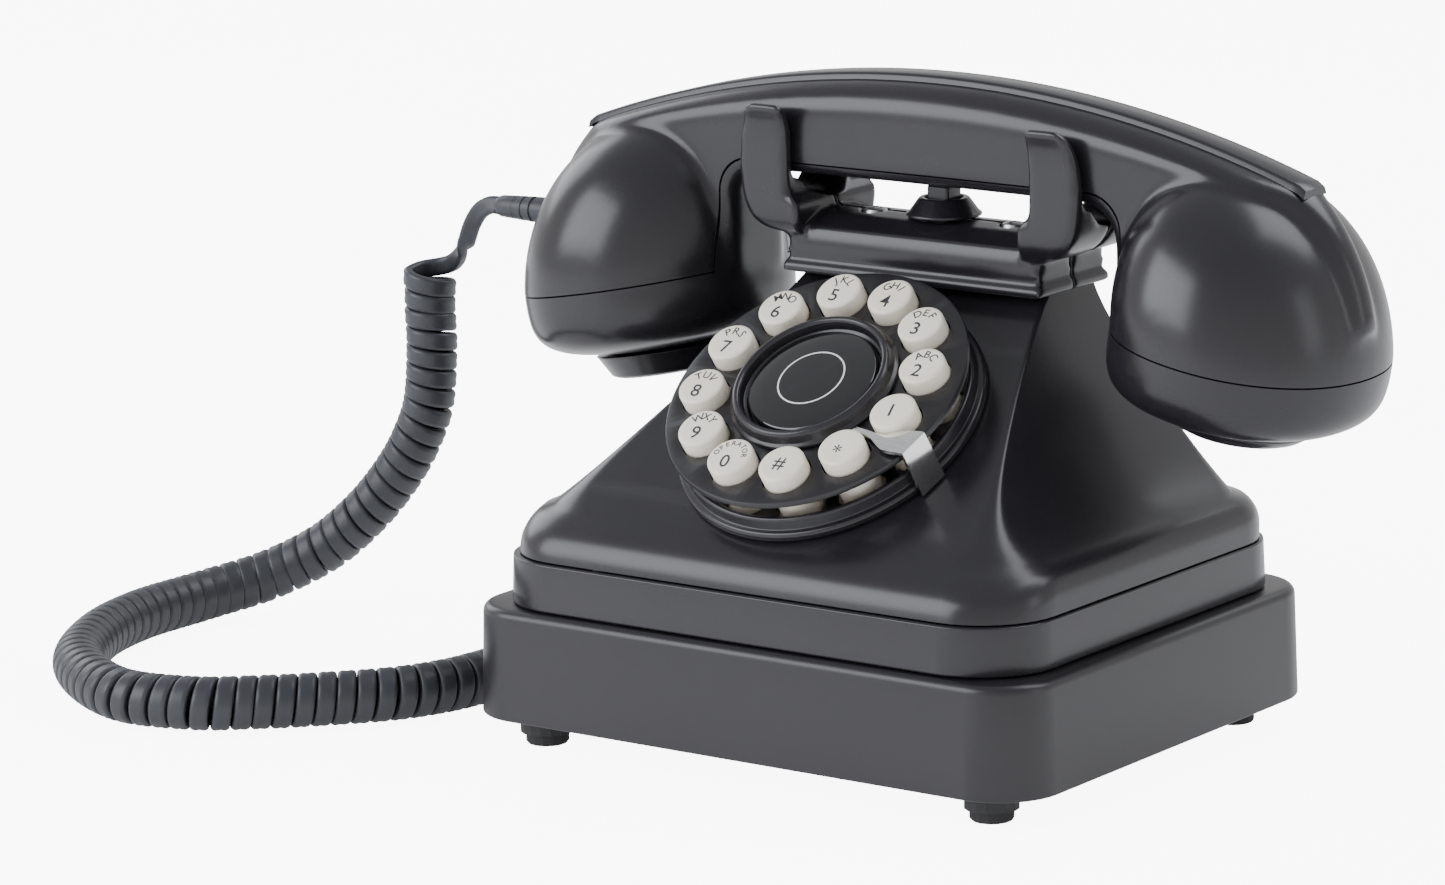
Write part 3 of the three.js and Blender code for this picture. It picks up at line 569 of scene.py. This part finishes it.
handset = {
    "archTop": 154.8, "archRadius": 300, "halfWidth": 12.5,
    "endHalfWidth": 6.2, "taperFrom": 92, "taperTo": 114,  # the outer face narrows between these, both ends
    "under": 130.4, "innerX": 54.7, "innerFoot": 104, "corner": 9, "outerX": 118.6, "outerPower": 1.05,
    "innerRound": 4.5, "outerRound": 8, "roundLimit": 0.96, "seamRise": 3.2, "seamGap": 0.42,
    "footStep": 2.2, "footSteps": 8, "cornerSteps": 12, "underSteps": 14,
    "cutReach": 130, "cutFoot": 60, "cutHalf": 60,  # of the body that parts the shells
    "meltCell": 0.95, "meltRounds": 10,
}
ends = {
    "x": 86, "z": 100, "tilt": 10.5, "halfLength": 31.5, "halfWidth": 35.5, "apex": 139.4, "panDepth": 18,
    "bandZ": 98, "bandLength": 33, "bandHeight": 44.2,
    "outlinePower": 0.94,         # 1 gives an ellipse, less a boxier outline
    "domePower": 2.15,            # 2 gives an ellipse, more a fuller dome
    "panFloor": 0.5,              # the lowest ring's share of the outline
    "panEasing": 0.8, "panPowers": (4.4, 3.2), "panLevels": 14, "domeLevels": 24,
}


def topOf(x):
    ax = abs(x)
    arch = handset["archTop"] - handset["archRadius"] + math.sqrt(handset["archRadius"] ** 2 - ax * ax)
    if ax < ends["x"]:
        return arch
    beyond = (ax - ends["x"]) / ends["bandLength"]
    return min(arch, ends["bandZ"] + ends["bandHeight"] * math.sqrt(max(1 - beyond ** 2, 0)))


def handleStations():
    # from the right end to the middle: a point on the inner face and one on the outer face
    h = handset
    inner = [(h["innerX"], h["innerFoot"] + h["footStep"] * k) for k in range(h["footSteps"])]
    inner += [(h["innerX"] - h["corner"] + x, h["under"] - h["corner"] + z)
              for x, z in arc(0, 0, h["corner"], 0, quarter, h["cornerSteps"])]
    last = h["underSteps"]
    inner += [((h["innerX"] - h["corner"]) * (1 - k / last), h["under"]) for k in range(1, last + 1)]
    count = len(inner) - 1
    stations = []
    for i, (x, z) in enumerate(inner):
        outX = h["outerX"] * math.cos(math.pi / 2 * (i / count) ** h["outerPower"]) if i < count else 0
        stations.append((x, z, outX, topOf(outX)))
    return stations


def handleSection(station, steps=7):
    x0, z0, x1, z1 = station
    h = handset
    length = math.hypot(x1 - x0, z1 - z0)
    ux, uz = (x1 - x0) / length, (z1 - z0) / length
    share = min(max((abs(x1) - h["taperFrom"]) / (h["taperTo"] - h["taperFrom"]), 0), 1)
    share = share * share * (3 - 2 * share)
    w = h["halfWidth"]
    outer = w - (w - h["endHalfWidth"]) * share
    r, big = h["innerRound"], min(h["outerRound"], outer * h["roundLimit"])
    outline = arc(r, -w + r, r, 180, 270, steps) + arc(length - big, -outer + big, big, 270, 360, steps)
    outline += arc(length - big, outer - big, big, 0, quarter, steps)
    outline += arc(r, w - r, r, quarter, 180, steps)
    return [Vector((x0 + ux * s, midY + t, z0 + uz * s)) for s, t in outline]


def handle():
    right = handleStations()
    left = [(-a, b, -c, d) for a, b, c, d in reversed(right[:-1])]
    return skin([handleSection(s) for s in right + left])


def superRing(centre, along, size, count=72):
    # a nearly elliptical ring across one end of the handset
    ring = []
    power = ends["outlinePower"]
    for k in range(count):
        turn = 2 * math.pi * k / count
        c, s = math.cos(turn), math.sin(turn)
        out = along * (ends["halfLength"] * size * math.copysign(abs(c) ** power, c))
        sideways = ends["halfWidth"] * size * math.copysign(abs(s) ** power, s)
        ring.append(centre + out + Vector((0, sideways, 0)))
    return ring


def handsetEnd(side):
    tilt = math.radians(ends["tilt"])
    along = Vector((side * math.cos(tilt), 0, -math.sin(tilt)))
    normal = Vector((side * math.sin(tilt), 0, math.cos(tilt)))
    seam = Vector((side * ends["x"], midY, ends["z"]))
    apex = Vector((side * ends["x"], midY, ends["apex"]))
    rings = []
    depthPower, sizePower = ends["panPowers"]
    for k in range(ends["panLevels"]):
        depth = math.cos(math.pi / 2 * k / ends["panLevels"]) ** ends["panEasing"]
        size = (1 - depth ** depthPower) ** (1 / sizePower) if k else ends["panFloor"]
        rings.append(superRing(seam - normal * depth * ends["panDepth"], along, size))
    for k in range(ends["domeLevels"]):
        level = math.sin(math.pi / 2 * k / ends["domeLevels"])
        size = (1 - level ** ends["domePower"]) ** (1 / ends["domePower"])
        rings.append(superRing(seam.lerp(apex, level), along, size))
    return skin(rings)


def belowSeam(drop):
    # a body that takes in everything under the seam, for parting the shells
    slope = math.tan(math.radians(ends["tilt"]))
    wallX = handset["innerX"] + handset["seamRise"] - drop
    under = handset["under"] + handset["seamRise"] - drop
    r = handset["corner"]

    def ringHeight(x):
        return ends["z"] - (x - ends["x"]) * slope - drop

    right = [(wallX - r + x, under - r + z) for x, z in arc(0, 0, r, quarter, 0, 10)]
    reach, half = handset["cutReach"], handset["cutHalf"]
    right += [(wallX, ringHeight(wallX)), (reach, ringHeight(reach)), (reach, handset["cutFoot"])]
    outline = right + [(-x, z) for x, z in reversed(right)]
    return skin([[Vector((x, y, z)) for x, z in outline] for y in (midY - half, midY + half)])


def handsetBody():
    bodies = together(handle(), handsetEnd(-1), handsetEnd(1))
    return melt(bodies, handset["meltCell"], handset["meltRounds"])


def makeHandset():
    whole = handsetBody()
    lower = carve(whole.copy(), belowSeam(handset["seamGap"]), "INTERSECT")
    upper = carve(whole, belowSeam(0))
    for name, shell, node in (("handset_upper", upper, "handset_upper_shell"),
                              ("handset_lower", lower, "handset_lower_shell")):
        finishPiece(name, shell, shellBlack, "handset", [node], sharp=24)


makeHandset()
print("handset shells made")

spine = {"reach": 103, "halfWidth": 4.6, "height": 1.5, "sunk": 0.4, "steps": 60}


def makeSpine():
    w = spine["halfWidth"]
    rings = []
    for k in range(spine["steps"], -spine["steps"] - 1, -1):
        x = spine["reach"] * k / spine["steps"]
        low, high = topOf(x) - spine["sunk"], topOf(x) + spine["height"]
        section = [(-w - 0.5, low), (-w, high - 0.7), (-w + 0.25, high - 0.25), (-w + 0.8, high)]
        section += [(-y, z) for y, z in reversed(section)]
        rings.append([Vector((x, midY + y, z)) for y, z in section])
    finishPiece("handset_spine_strip", skin(rings), shellBlack, "handset", ["handset_spine"],
                sharp=40)


makeSpine()


def facePlace(side):
    return (Matrix.Translation((side * ends["x"], midY, ends["z"]))
            @ Matrix.Rotation(math.radians(side * ends["tilt"]), 4, "Y"))


faceCap = {"recess": 0.7, "slotWidth": 1.3, "slotRing": 9, "slotRows": (-6, -3, 0, 3, 6), "edge": 0.3}


def makeFaceCap(name, side, node, drop):
    # stands out of the pan by the drop, with slots in a sunk middle
    d = faceCap
    low = -ends["panDepth"] - gap
    face = low - drop
    middle = face + d["recess"]
    cap = turned([
        (0, middle), (10.6, middle), (11, face), (14.2, face), (15.6, face + 0.6), (18.4, low - 0.5),
        (18.8, low), (0, low),
    ])
    soften(cap, d["edge"])
    slots = []
    for y in d["slotRows"]:
        long = 2 * math.sqrt(d["slotRing"] ** 2 - y * y)
        slots.append(block((long, d["slotWidth"], 4), (0, y, middle)))
    cap = carve(cap, together(*slots))
    finishPiece(name, cap, shellBlack, "handset", [node], facePlace(side))


makeFaceCap("mouthpiece", -1, "mouthpiece_cap", 6)
makeFaceCap("earpiece", 1, "earpiece_cap", 3.2)

relief = {"height": 112.2, "ribs": (123.4, 126.2, 129), "steps": 48}


def makeStrainRelief():
    # turned about the cord's way out, its heights count from the middle of the telephone
    profile = [
        (0, 107), (4.4, 107), (4.4, 109.4), (3.3, 109.4), (3.3, 121.2), (3.25, 124), (3.1, 128), (2.9, 132),
        (2.75, 134.6), (2.45, 135.5), (2.2, 135.9), (0, 135.9),
    ]
    grooves = []
    for x in relief["ribs"]:
        outline = [(2.95, x), (3.7, x + 0.2), (3.7, x + 0.9), (2.95, x + 1.1), (2.95, x)]
        grooves.append(turned(outline, relief["steps"]))
    body = carve(turned(profile, relief["steps"]), together(*grooves))
    lying = Matrix.Rotation(math.radians(-quarter), 4, "Y")
    return finishPiece("strain_relief_boot", body, cordSlate, "handset", ["strain_relief"],
                       Matrix.Translation((0, midY, relief["height"])) @ lying)


boot = makeStrainRelief()

# base casing

plinth = {
    "width": 161.5, "depth": 131.3, "radius": 15.5, "bottom": 7.6, "top": 34.5, "draft": 0.7, "edge": 2.2,
    "stepWidth": 124.8, "stepDepth": 98.8, "stepRadius": 8,
    "waySize": (14, 12.4, 11.8), "wayIn": 3, "wayZ": 16.5, "leftWayY": -2.5, "rearWayX": 30,  # for the jacks
}


def slabRings(width, depth, radius, bottom, top, draft, edge, steps=14):
    def level(z, inset):
        return roundedRing(width / 2 - inset, -depth / 2 + inset, depth / 2 - inset,
                           max(radius - inset, leastRadius), z, steps)

    low = [level(bottom + z, 0.6 - x) for x, z in arc(0, 0.6, 0.6, -quarter, 0, 3)]
    high = [level(top - edge + z, draft + edge - x) for x, z in arc(0, 0, edge, 0, quarter, 6)]
    return low + high


def makePlinth():
    d = plinth
    outer = skin(slabRings(d["width"], d["depth"], d["radius"], d["bottom"], d["top"], d["draft"],
                           d["edge"]))
    inset = 2 * wall + 1
    hollow = skin(slabRings(d["width"] - inset, d["depth"] - inset, d["radius"] - wall, d["bottom"] - 5,
                            d["top"] - wall, d["draft"], 0.6, 8))
    step = skin(slabRings(d["stepWidth"], d["stepDepth"], d["stepRadius"], d["top"] - 8, d["top"] + 5, 0,
                          0.5, 6))
    shell = carve(outer, hollow)
    shell = carve(shell, step)
    deep, wide, high = d["waySize"]
    left = block((deep, wide, high), (-d["width"] / 2 + d["wayIn"], d["leftWayY"], d["wayZ"]))
    rear = block((wide, deep, high), (d["rearWayX"], d["depth"] / 2 - d["wayIn"], d["wayZ"]))
    shell = carve(shell, together(left, rear))
    finishPiece("plinth", shell, plinthBlack, "base", ["plinth_shell"])


makePlinth()

band = {
    "width": 150.8, "depth": 124.8, "radius": 19.5, "bottom": 34.8, "top": 46.3, "draft": 0.4, "edge": 0.4,
    "innerWidth": 146, "innerDepth": 120, "innerRadius": 17.1, "innerBottom": 30, "innerTop": 51,
}


def makeLowerHousing():
    d = band
    outer = skin(slabRings(d["width"], d["depth"], d["radius"], d["bottom"], d["top"], d["draft"],
                           d["edge"]))
    hollow = skin(slabRings(d["innerWidth"], d["innerDepth"], d["innerRadius"], d["innerBottom"],
                            d["innerTop"], 0, d["edge"], 8))
    finishPiece("lower_housing_band", carve(outer, hollow), shellBlack, "base",
                ["lower_housing"])


makeLowerHousing()

housing = {
    "width": 148.6, "depth": 122.6, "radius": 19, "seam": 46.3,
    "shoulderZ": 57.4, "shoulderWidth": 138.4, "shoulderRear": 56.2, "shoulderRound": 7.8,
    "neckZ": 107, "neckHalf": 34.8, "neckRear": 38,
    "panelY": -22, "panelZ": 79.6, "panelSlope": 0.7105, "panelSoften": 8, "panelInset": 1.25,
    "neckRadius": 1.4, "radiusGrowth": 16.3, "radiusPower": 8, "radiusEase": 1.3,
    "flareShares": (0.8, 0.2), "flarePowers": (1.2, 8),
    "firstLevel": 1.2, "secondLevel": 49, "levelPower": 1.3,
}


def flare(t):
    # how far the sides have spread, 0 at the neck and 1 at the shoulder
    (a, b), (p, q) = housing["flareShares"], housing["flarePowers"]
    return a * t ** p + b * t ** q


def panelFront(z):
    # y of the front at a height: upright below, running softly into the sloping panel
    h = housing
    ahead = h["panelY"] + (z - h["panelZ"]) / h["panelSlope"] + h["depth"] / 2
    return -h["depth"] / 2 + (ahead + math.sqrt(ahead * ahead + 4 * h["panelSoften"])) / 2


def housingRing(z, inset):
    h = housing
    front = panelFront(z) + inset * h["panelInset"]
    if z > h["shoulderZ"]:
        t = (h["neckZ"] - z) / (h["neckZ"] - h["shoulderZ"])
        w = h["neckHalf"] + (h["shoulderWidth"] / 2 - h["neckHalf"]) * flare(t)
        rear = h["neckRear"] + (h["shoulderRear"] - h["neckRear"]) * flare(t)
        radius = h["neckRadius"] + h["radiusGrowth"] * t ** h["radiusPower"] - inset
        return roundedRing(w - inset, front, rear - inset, max(radius, leastRadius), z)
    drop = min((h["shoulderZ"] - z) / h["shoulderRound"], 1)
    bulge = math.sqrt(1 - (1 - drop) ** 2)
    w = h["shoulderWidth"] / 2 + (h["width"] - h["shoulderWidth"]) / 2 * bulge
    rear = h["shoulderRear"] + (h["depth"] / 2 - h["shoulderRear"]) * bulge
    radius = h["radius"] - h["radiusEase"] + h["radiusEase"] * bulge - inset
    return roundedRing(w - inset, front, rear - inset, radius, z)


def housingForm(bottom, top, inset, fine):
    h = housing
    span = h["neckZ"] - h["shoulderZ"]
    levels = [bottom, bottom + h["firstLevel"], h["secondLevel"]]
    levels += [h["shoulderZ"] - h["shoulderRound"] * math.cos(math.pi / 2 * k / fine)
               for k in range(fine + 1)]
    levels += [h["neckZ"] - span * (1 - k / (3 * fine)) ** h["levelPower"] for k in range(1, 3 * fine + 1)]
    rings = []
    for z in levels:
        ring = housingRing(z, inset)
        drop = min(inset, z - bottom) if z > bottom else 0
        rings.append([Vector((p.x, p.y, min(z - drop, top))) for p in ring])
    return skin(rings)


dialSeat = {"at": (0, -28.9, 89.6), "tilt": 35.39}
dialPlace = (Matrix.Translation(dialSeat["at"])
             @ Matrix.Rotation(math.radians(dialSeat["tilt"]), 4, "X"))
cover = {
    "seamGap": 0.35,
    "dialHole": (36.4, -30, -9),     # radius, from, to in the dial's frame
    "plungerHole": (5.4, 90, 115),   # radius, from, to
}


def makeCover():
    shell = housingForm(housing["seam"] + cover["seamGap"], housing["neckZ"], 0, 12)
    hollow = housingForm(housing["seam"] - 2, housing["neckZ"] - wall, wall, 5)
    shell = carve(shell, hollow)
    way = rod(*cover["dialHole"], steps=96)
    way.transform(dialPlace)
    shell = carve(shell, together(way, rod(*cover["plungerHole"], (0, midY))))
    finishPiece("housing", shell, shellBlack, "base", ["housing_cover"], sharp=28)


makeCover()
print("base casing made")

# cradle, collar and hook

cradle = {"meltCell": 0.55, "meltRounds": 6, "prongRounds": 26, "prongX": 33.8, "prongZ": 113}


def onProng(at):
    return abs(at.x) > cradle["prongX"] and at.z > cradle["prongZ"]


for half in ("cradle_front", "cradle_rear"):
    form = melt(fromNode(half), cradle["meltCell"], cradle["meltRounds"], onProng, cradle["prongRounds"])
    finishPiece(half + "_moulding", form, shellBlack, "base", [half], sharp=60)

hookPost = {
    "side": 6.2, "height": 38.1, "middleZ": 110.55, "edge": 0.8,
    "flange": (4.9, 103, 104.2),     # radius, from, to
}


def makeCollarAndHook():
    collar = turned([
        (4.7, 122.1), (9.1, 122.1), (9.1, 122.7), (8.4, 123.2), (6.3, 126.1), (5.9, 126.5), (4.7, 126.5),
        (4.7, 122.1),
    ], 72)
    finishPiece("collar", soften(collar, 0.2, 35), shellBlack, "base", ["plunger_collar"],
                Matrix.Translation((0, midY, 0)))
    d = hookPost
    stem = soften(block((d["side"], d["side"], d["height"]), (0, midY, d["middleZ"])), d["edge"], 30, 4)
    post = together(stem, rod(*d["flange"], (0, midY)))
    finishPiece("hook_post", post, shellBlack, "hook", ["hook_plunger"])


makeCollarAndHook()

crownScrew = {"foot": 102.2, "slotLong": 3.8, "slotWide": 0.8, "slotDeep": 3, "slotZ": 122.3}


def makeCradleScrew(name, x, node):
    d = crownScrew
    head = turned([
        (0, 8.2), (1.5, 8.2), (1.5, 17.9), (3.1, 17.9), (3.1, 18.9), (2.7, 19.6), (1.6, 20), (0, 20.1),
    ], 40)
    head.transform(Matrix.Translation((0, 0, d["foot"])))
    # the slots are cut one at a time: a cutter that crosses itself leaves an empty mesh
    for size in ((d["slotLong"], d["slotWide"]), (d["slotWide"], d["slotLong"])):
        head = carve(head, block((*size, d["slotDeep"]), (0, 0, d["slotZ"])))
    finishPiece(name, head, steel, "base", [node], Matrix.Translation((x, midY, 0)))


makeCradleScrew("crown_screw_left", -20, "cradle_screw_left")
makeCradleScrew("crown_screw_right", 20, "cradle_screw_right")

# dial pad, in the dial's own frame: plate top at z = 0

dial = {
    "plateRadius": 37.8, "plateThick": 1.9, "keyRing": 28.35, "keyRadius": 5.7, "keyHole": 6.15,
    "keyTop": 3.9, "keyBottom": -13.4, "keyFlange": 6.9, "firstAngle": -15, "keyAngle": 30,
    "backPlane": -11.7,
}
legends = [
    ("1", "1", ""), ("2", "2", "ABC"), ("3", "3", "DEF"), ("4", "4", "GHI"), ("5", "5", "JKL"),
    ("6", "6", "MNO"), ("7", "7", "PRS"), ("8", "8", "TUV"), ("9", "9", "WXY"), ("0", "0", "OPERATOR"),
    ("hash", "#", ""), ("star", "*", ""),
]


def keyPlace(index):
    a = math.radians(dial["firstAngle"] + dial["keyAngle"] * index)
    return dial["keyRing"] * math.cos(a), dial["keyRing"] * math.sin(a)


def keyHoles(low, high):
    return together(*[rod(dial["keyHole"], low, high, keyPlace(i)) for i in range(len(legends))])


def makeDialBase():
    back = dial["backPlane"]
    inner = -dial["plateThick"] - gap
    dish = turned([
        (0, back), (38.6, back), (38.6, back + 1.4), (38.1, back + 2), (36.9, back + 2.2),
        (36.7, back + 4.9), (36.2, back + 5.3), (35.4, back + 5.3), (35, back + 1.8), (15.5, back + 1.8),
        (15.5, inner), (0, inner),
    ], 128)
    dish = carve(soften(dish, 0.25, 20, 3), keyHoles(back - 1, back + 4))
    finishPiece("dial_ring", dish, shellBlack, "base", ["dial_base"], dialPlace)


def makePlate():
    r, t = dial["plateRadius"], dial["plateThick"]
    disc = turned([
        (0, -t), (r - 0.5, -t), (r, -t + 0.5), (r, -0.45), (r - 0.18, -0.12), (r - 0.5, 0), (0, 0),
    ], 144)
    disc = carve(disc, keyHoles(-5, 5))
    soften(disc, 0.22, 50)
    finishPiece("dial_plate", disc, plateBlack, "base", ["finger_plate"], dialPlace)


def makeCentre():
    ring = turned([
        (16.6, gap), (21, gap), (21, 1.1), (20.1, 1.6), (19.7, 3.4), (19.2, 4.05), (18.6, 4.25),
        (18.1, 4.1), (17.7, 3.6), (17.5, 1.4), (16.6, 1.1), (16.6, gap),
    ], 128)
    finishPiece("centre_bezel", soften(ring, 0.18, 25), shellBlack, "base",
                ["centre_ring"], dialPlace)
    disc = turned([
        (0, gap), (16.2, gap), (16.2, 1.9), (15.7, 2.35), (12, 2.75), (8, 3), (4, 3.15), (0, 3.2),
    ], 96)
    finishPiece("centre_lens", soften(disc, 0.12, 30), discBlack, "base",
                ["centre_disc"], dialPlace)
    mark = turned([(8.1, 2.8), (8.5, 2.8), (8.5, 2.99), (8.1, 3.01), (8.1, 2.8)], 96)
    finishPiece("centre_mark", mark, markWhite, "base", (), dialPlace)


legendLook = {
    "thick": 0.03, "bold": 0.005, "lift": 0.02,
    "digitSize": 5.4, "digitLean": -0.12, "digitLow": -3.6, "digitAlone": -1.9,
    "short": (38, 3.1, 2.3),    # degrees from letter to letter, letter size, distance out
    "long": (23.5, 2, 3.2),
}


def glyph(text, size, shear):
    # one digit or letter as a thin closed body, centred across
    curve = bpy.data.curves.new("letter", "FONT")
    curve.body = text
    curve.size = size
    curve.shear = shear
    curve.extrude = legendLook["thick"]
    curve.offset = legendLook["bold"] * size
    curve.resolution_u = 3
    curve.align_x = "CENTER"
    obj = bpy.data.objects.new("letter", curve)
    bpy.context.scene.collection.objects.link(obj)
    bpy.context.view_layer.update()
    mesh = bpy.data.meshes.new_from_object(obj.evaluated_get(bpy.context.evaluated_depsgraph_get()))
    bm = bmesh.new()
    bm.from_mesh(mesh)
    bpy.data.objects.remove(obj)
    bpy.data.curves.remove(curve)
    bpy.data.meshes.remove(mesh)
    bmesh.ops.remove_doubles(bm, verts=bm.verts, dist=0.001)
    return bm


def keyLegend(digit, letters, at):
    d = legendLook
    height = dial["keyTop"] + d["lift"]
    marks = [glyph(digit, d["digitSize"], d["digitLean"])]
    low = d["digitLow"] if letters or digit == "*" else d["digitAlone"]
    marks[0].transform(Matrix.Translation((at[0], at[1] + low, height)))
    step, size, radius = d["short"] if len(letters) < 4 else d["long"]
    for i, letter in enumerate(letters):
        lean = math.radians(step * ((len(letters) - 1) / 2 - i))
        mark = glyph(letter, size, 0.0)
        turn = Matrix.Rotation(lean, 4, "Z") @ Matrix.Translation((0, radius, 0))
        mark.transform(Matrix.Translation((*at, height)) @ turn)
        marks.append(mark)
    return together(*marks)


def makeKeys():
    d = dial
    r, top, bottom = d["keyRadius"], d["keyTop"], d["keyBottom"]
    for i, (name, digit, letters) in enumerate(legends):
        at = keyPlace(i)
        cap = turned([
            (0, top), (0, top - 4), (3.7, top - 4), (3.7, bottom), (d["keyFlange"], bottom),
            (d["keyFlange"], bottom + 1.1), (r - 0.5, bottom + 1.1), (r - 0.5, -2.2), (r, -1.9),
            (r, top - 0.75), (r - 0.1, top - 0.42), (r - 0.38, top - 0.14), (r - 0.75, top - 0.02),
            (r - 1.2, top), (0, top),
        ], 64)
        place = dialPlace @ Matrix.Translation((*at, 0))
        body = "key_" + name
        finishPiece("key_" + name, cap, keyCream, body, ["button_" + name], place)
        finishPiece("legend_" + name, keyLegend(digit, letters, at), legendInk, body, (),
                    dialPlace, sharp=20)


fingerStop = {
    "top": 2.4, "thick": 1, "tabWidth": 7.5, "tabShift": (0.35, -0.1), "edge": 0.3,
    "foldFrom": (35.2, -18.5), "foldTo": (37.3, -11.3),
    "outline": [
        (19.7, -12.5), (19.2, -12.8), (19.1, -13.4), (19.6, -13.8), (22.2, -14.2), (25.2, -15.3),
        (28.0, -17.3), (29.6, -18.2), (32, -18.5), (35.2, -18.5), (36.3, -14.9), (37.3, -11.3),
        (33.8, -11.5), (30.6, -12.4), (28.4, -13.8), (26.4, -13.7), (23.0, -13),
    ],
}


def makeFingerStop():
    # a bent strip: a blade between two keys, widening to a fold, then a tab down past the plate's rim
    d = fingerStop
    top, thick = d["top"], d["thick"]
    bm = bmesh.new()
    face = bm.faces.new([bm.verts.new((x, y, top)) for x, y in d["outline"]])
    made = bmesh.ops.extrude_face_region(bm, geom=[face])["geom"]
    fresh = [g for g in made if isinstance(g, bmesh.types.BMVert)]
    bmesh.ops.translate(bm, verts=fresh, vec=(0, 0, -thick))
    bmesh.ops.recalc_face_normals(bm, faces=bm.faces)
    (x0, y0), (x1, y1) = d["foldFrom"], d["foldTo"]
    middle = Vector(((x0 + x1) / 2 + d["tabShift"][0], (y0 + y1) / 2 + d["tabShift"][1], 0))
    turn = math.atan2(x1 - x0, y1 - y0)
    low = dial["backPlane"]
    tab = block((thick, d["tabWidth"], top - low), (0, 0, (top + low) / 2))
    tab.transform(Matrix.Translation(middle) @ Matrix.Rotation(-turn, 4, "Z"))
    strip = carve(bm, tab, "UNION")
    bmesh.ops.dissolve_limit(strip, angle_limit=math.radians(1), verts=strip.verts, edges=strip.edges)
    finishPiece("stop_strip", soften(strip, d["edge"], 35, 3), chrome, "base",
                ["finger_stop"], dialPlace)


makeDialBase()
makePlate()
makeCentre()
makeKeys()
makeFingerStop()
print("dial made")

# the rest keep their CAD shape and take a finish

finishes = {
    "bottom_plate": innerBlack, "main_board": boardGreen, "keypad_board": boardGreen,
    "ballast_weight": iron, "handset_weight": iron, "ringer_speaker": innerBlack,
    "handset_jack": innerBlack, "line_jack": innerBlack, "hook_switch": innerBlack,
    "plunger_spring": steel, "keypad_mat": footRubber, "microphone_capsule": steel,
    "receiver_capsule": steel, "modular_plug": plugClear,
}
for corner in ("front_left", "front_right", "rear_left", "rear_right"):
    finishes["foot_pad_" + corner] = footRubber
    finishes["bottom_screw_" + corner] = steel
for node, material in finishes.items():
    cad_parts[node].material_slots[0].material = material

# floor and light, in metres

studio = {
    "floorRadius": 12, "floorDark": (0.9, 0.9, 0.9), "floorLight": (0.93, 0.93, 0.93),
    "floorGlow": 0.45,       # as it lights the telephone
    "floorGlowSeen": 9,      # as the camera sees it, for a white background
    "skyLow": (1, 1, 1), "skyHigh": (0.6, 0.61, 0.64), "skyStrength": 1.0,
    "lightColor": (0.93, 0.95, 1),
}
softboxes = (                # name, place, aim, size, watts
    ("frontBox", (-0.9, -1.2, 0.78), (0, 0, 0.09), (1.4, 1.0), 24),
    ("leftBox", (-1.5, 0.45, 0.75), (0, 0, 0.1), (0.8, 0.8), 6),
    ("topBox", (0.45, 0.75, 1.25), (0, 0, 0.08), (1.0, 0.9), 12),
    ("rightBox", (1.6, 0.3, 0.5), (0.05, 0, 0.08), (0.4, 0.8), 1.4),
)


def makeStage():
    bm = bmesh.new()
    bmesh.ops.create_circle(bm, cap_ends=True, segments=96, radius=studio["floorRadius"])
    mesh = bpy.data.meshes.new("floor")
    bm.to_mesh(mesh)
    bm.free()
    floor = bpy.data.objects.new("floor", mesh)
    material, tree, shader = newMaterial("floorWhite", 0.6)
    pale = ramp(tree, objectNoise(tree, 3), studio["floorDark"], studio["floorLight"])
    tree.links.new(pale, shader.inputs["Base Color"])
    tree.links.new(pale, shader.inputs["Emission Color"])
    rays = tree.nodes.new("ShaderNodeLightPath")
    glow = spread(tree, rays.outputs["Is Camera Ray"], studio["floorGlow"], studio["floorGlowSeen"])
    tree.links.new(glow, shader.inputs["Emission Strength"])
    shader.inputs["Specular IOR Level"].default_value = 0.2
    mesh.materials.append(material)
    bpy.context.scene.collection.objects.link(floor)


def makeSky():
    # white towards the horizon, dimmer overhead
    world = bpy.data.worlds.new("studio")
    world.use_nodes = True
    tree = world.node_tree
    place = tree.nodes.new("ShaderNodeTexCoord")
    split = tree.nodes.new("ShaderNodeSeparateXYZ")
    tree.links.new(place.outputs["Generated"], split.inputs["Vector"])
    sky = ramp(tree, split.outputs["Z"], studio["skyLow"], studio["skyHigh"], 0.1, 0.8)
    tree.links.new(sky, tree.nodes["Background"].inputs["Color"])
    tree.nodes["Background"].inputs["Strength"].default_value = studio["skyStrength"]
    bpy.context.scene.world = world


def softbox(name, at, aim, size, power):
    data = bpy.data.lights.new(name, "AREA")
    data.shape = "RECTANGLE"
    data.size, data.size_y = size
    data.energy = power
    data.color = studio["lightColor"]
    obj = bpy.data.objects.new(name, data)
    obj.location = at
    obj.rotation_euler = (Vector(aim) - Vector(at)).to_track_quat("-Z", "Y").to_euler()
    bpy.context.scene.collection.objects.link(obj)


makeStage()
makeSky()
for row in softboxes:
    softbox(*row)
print("stage made")
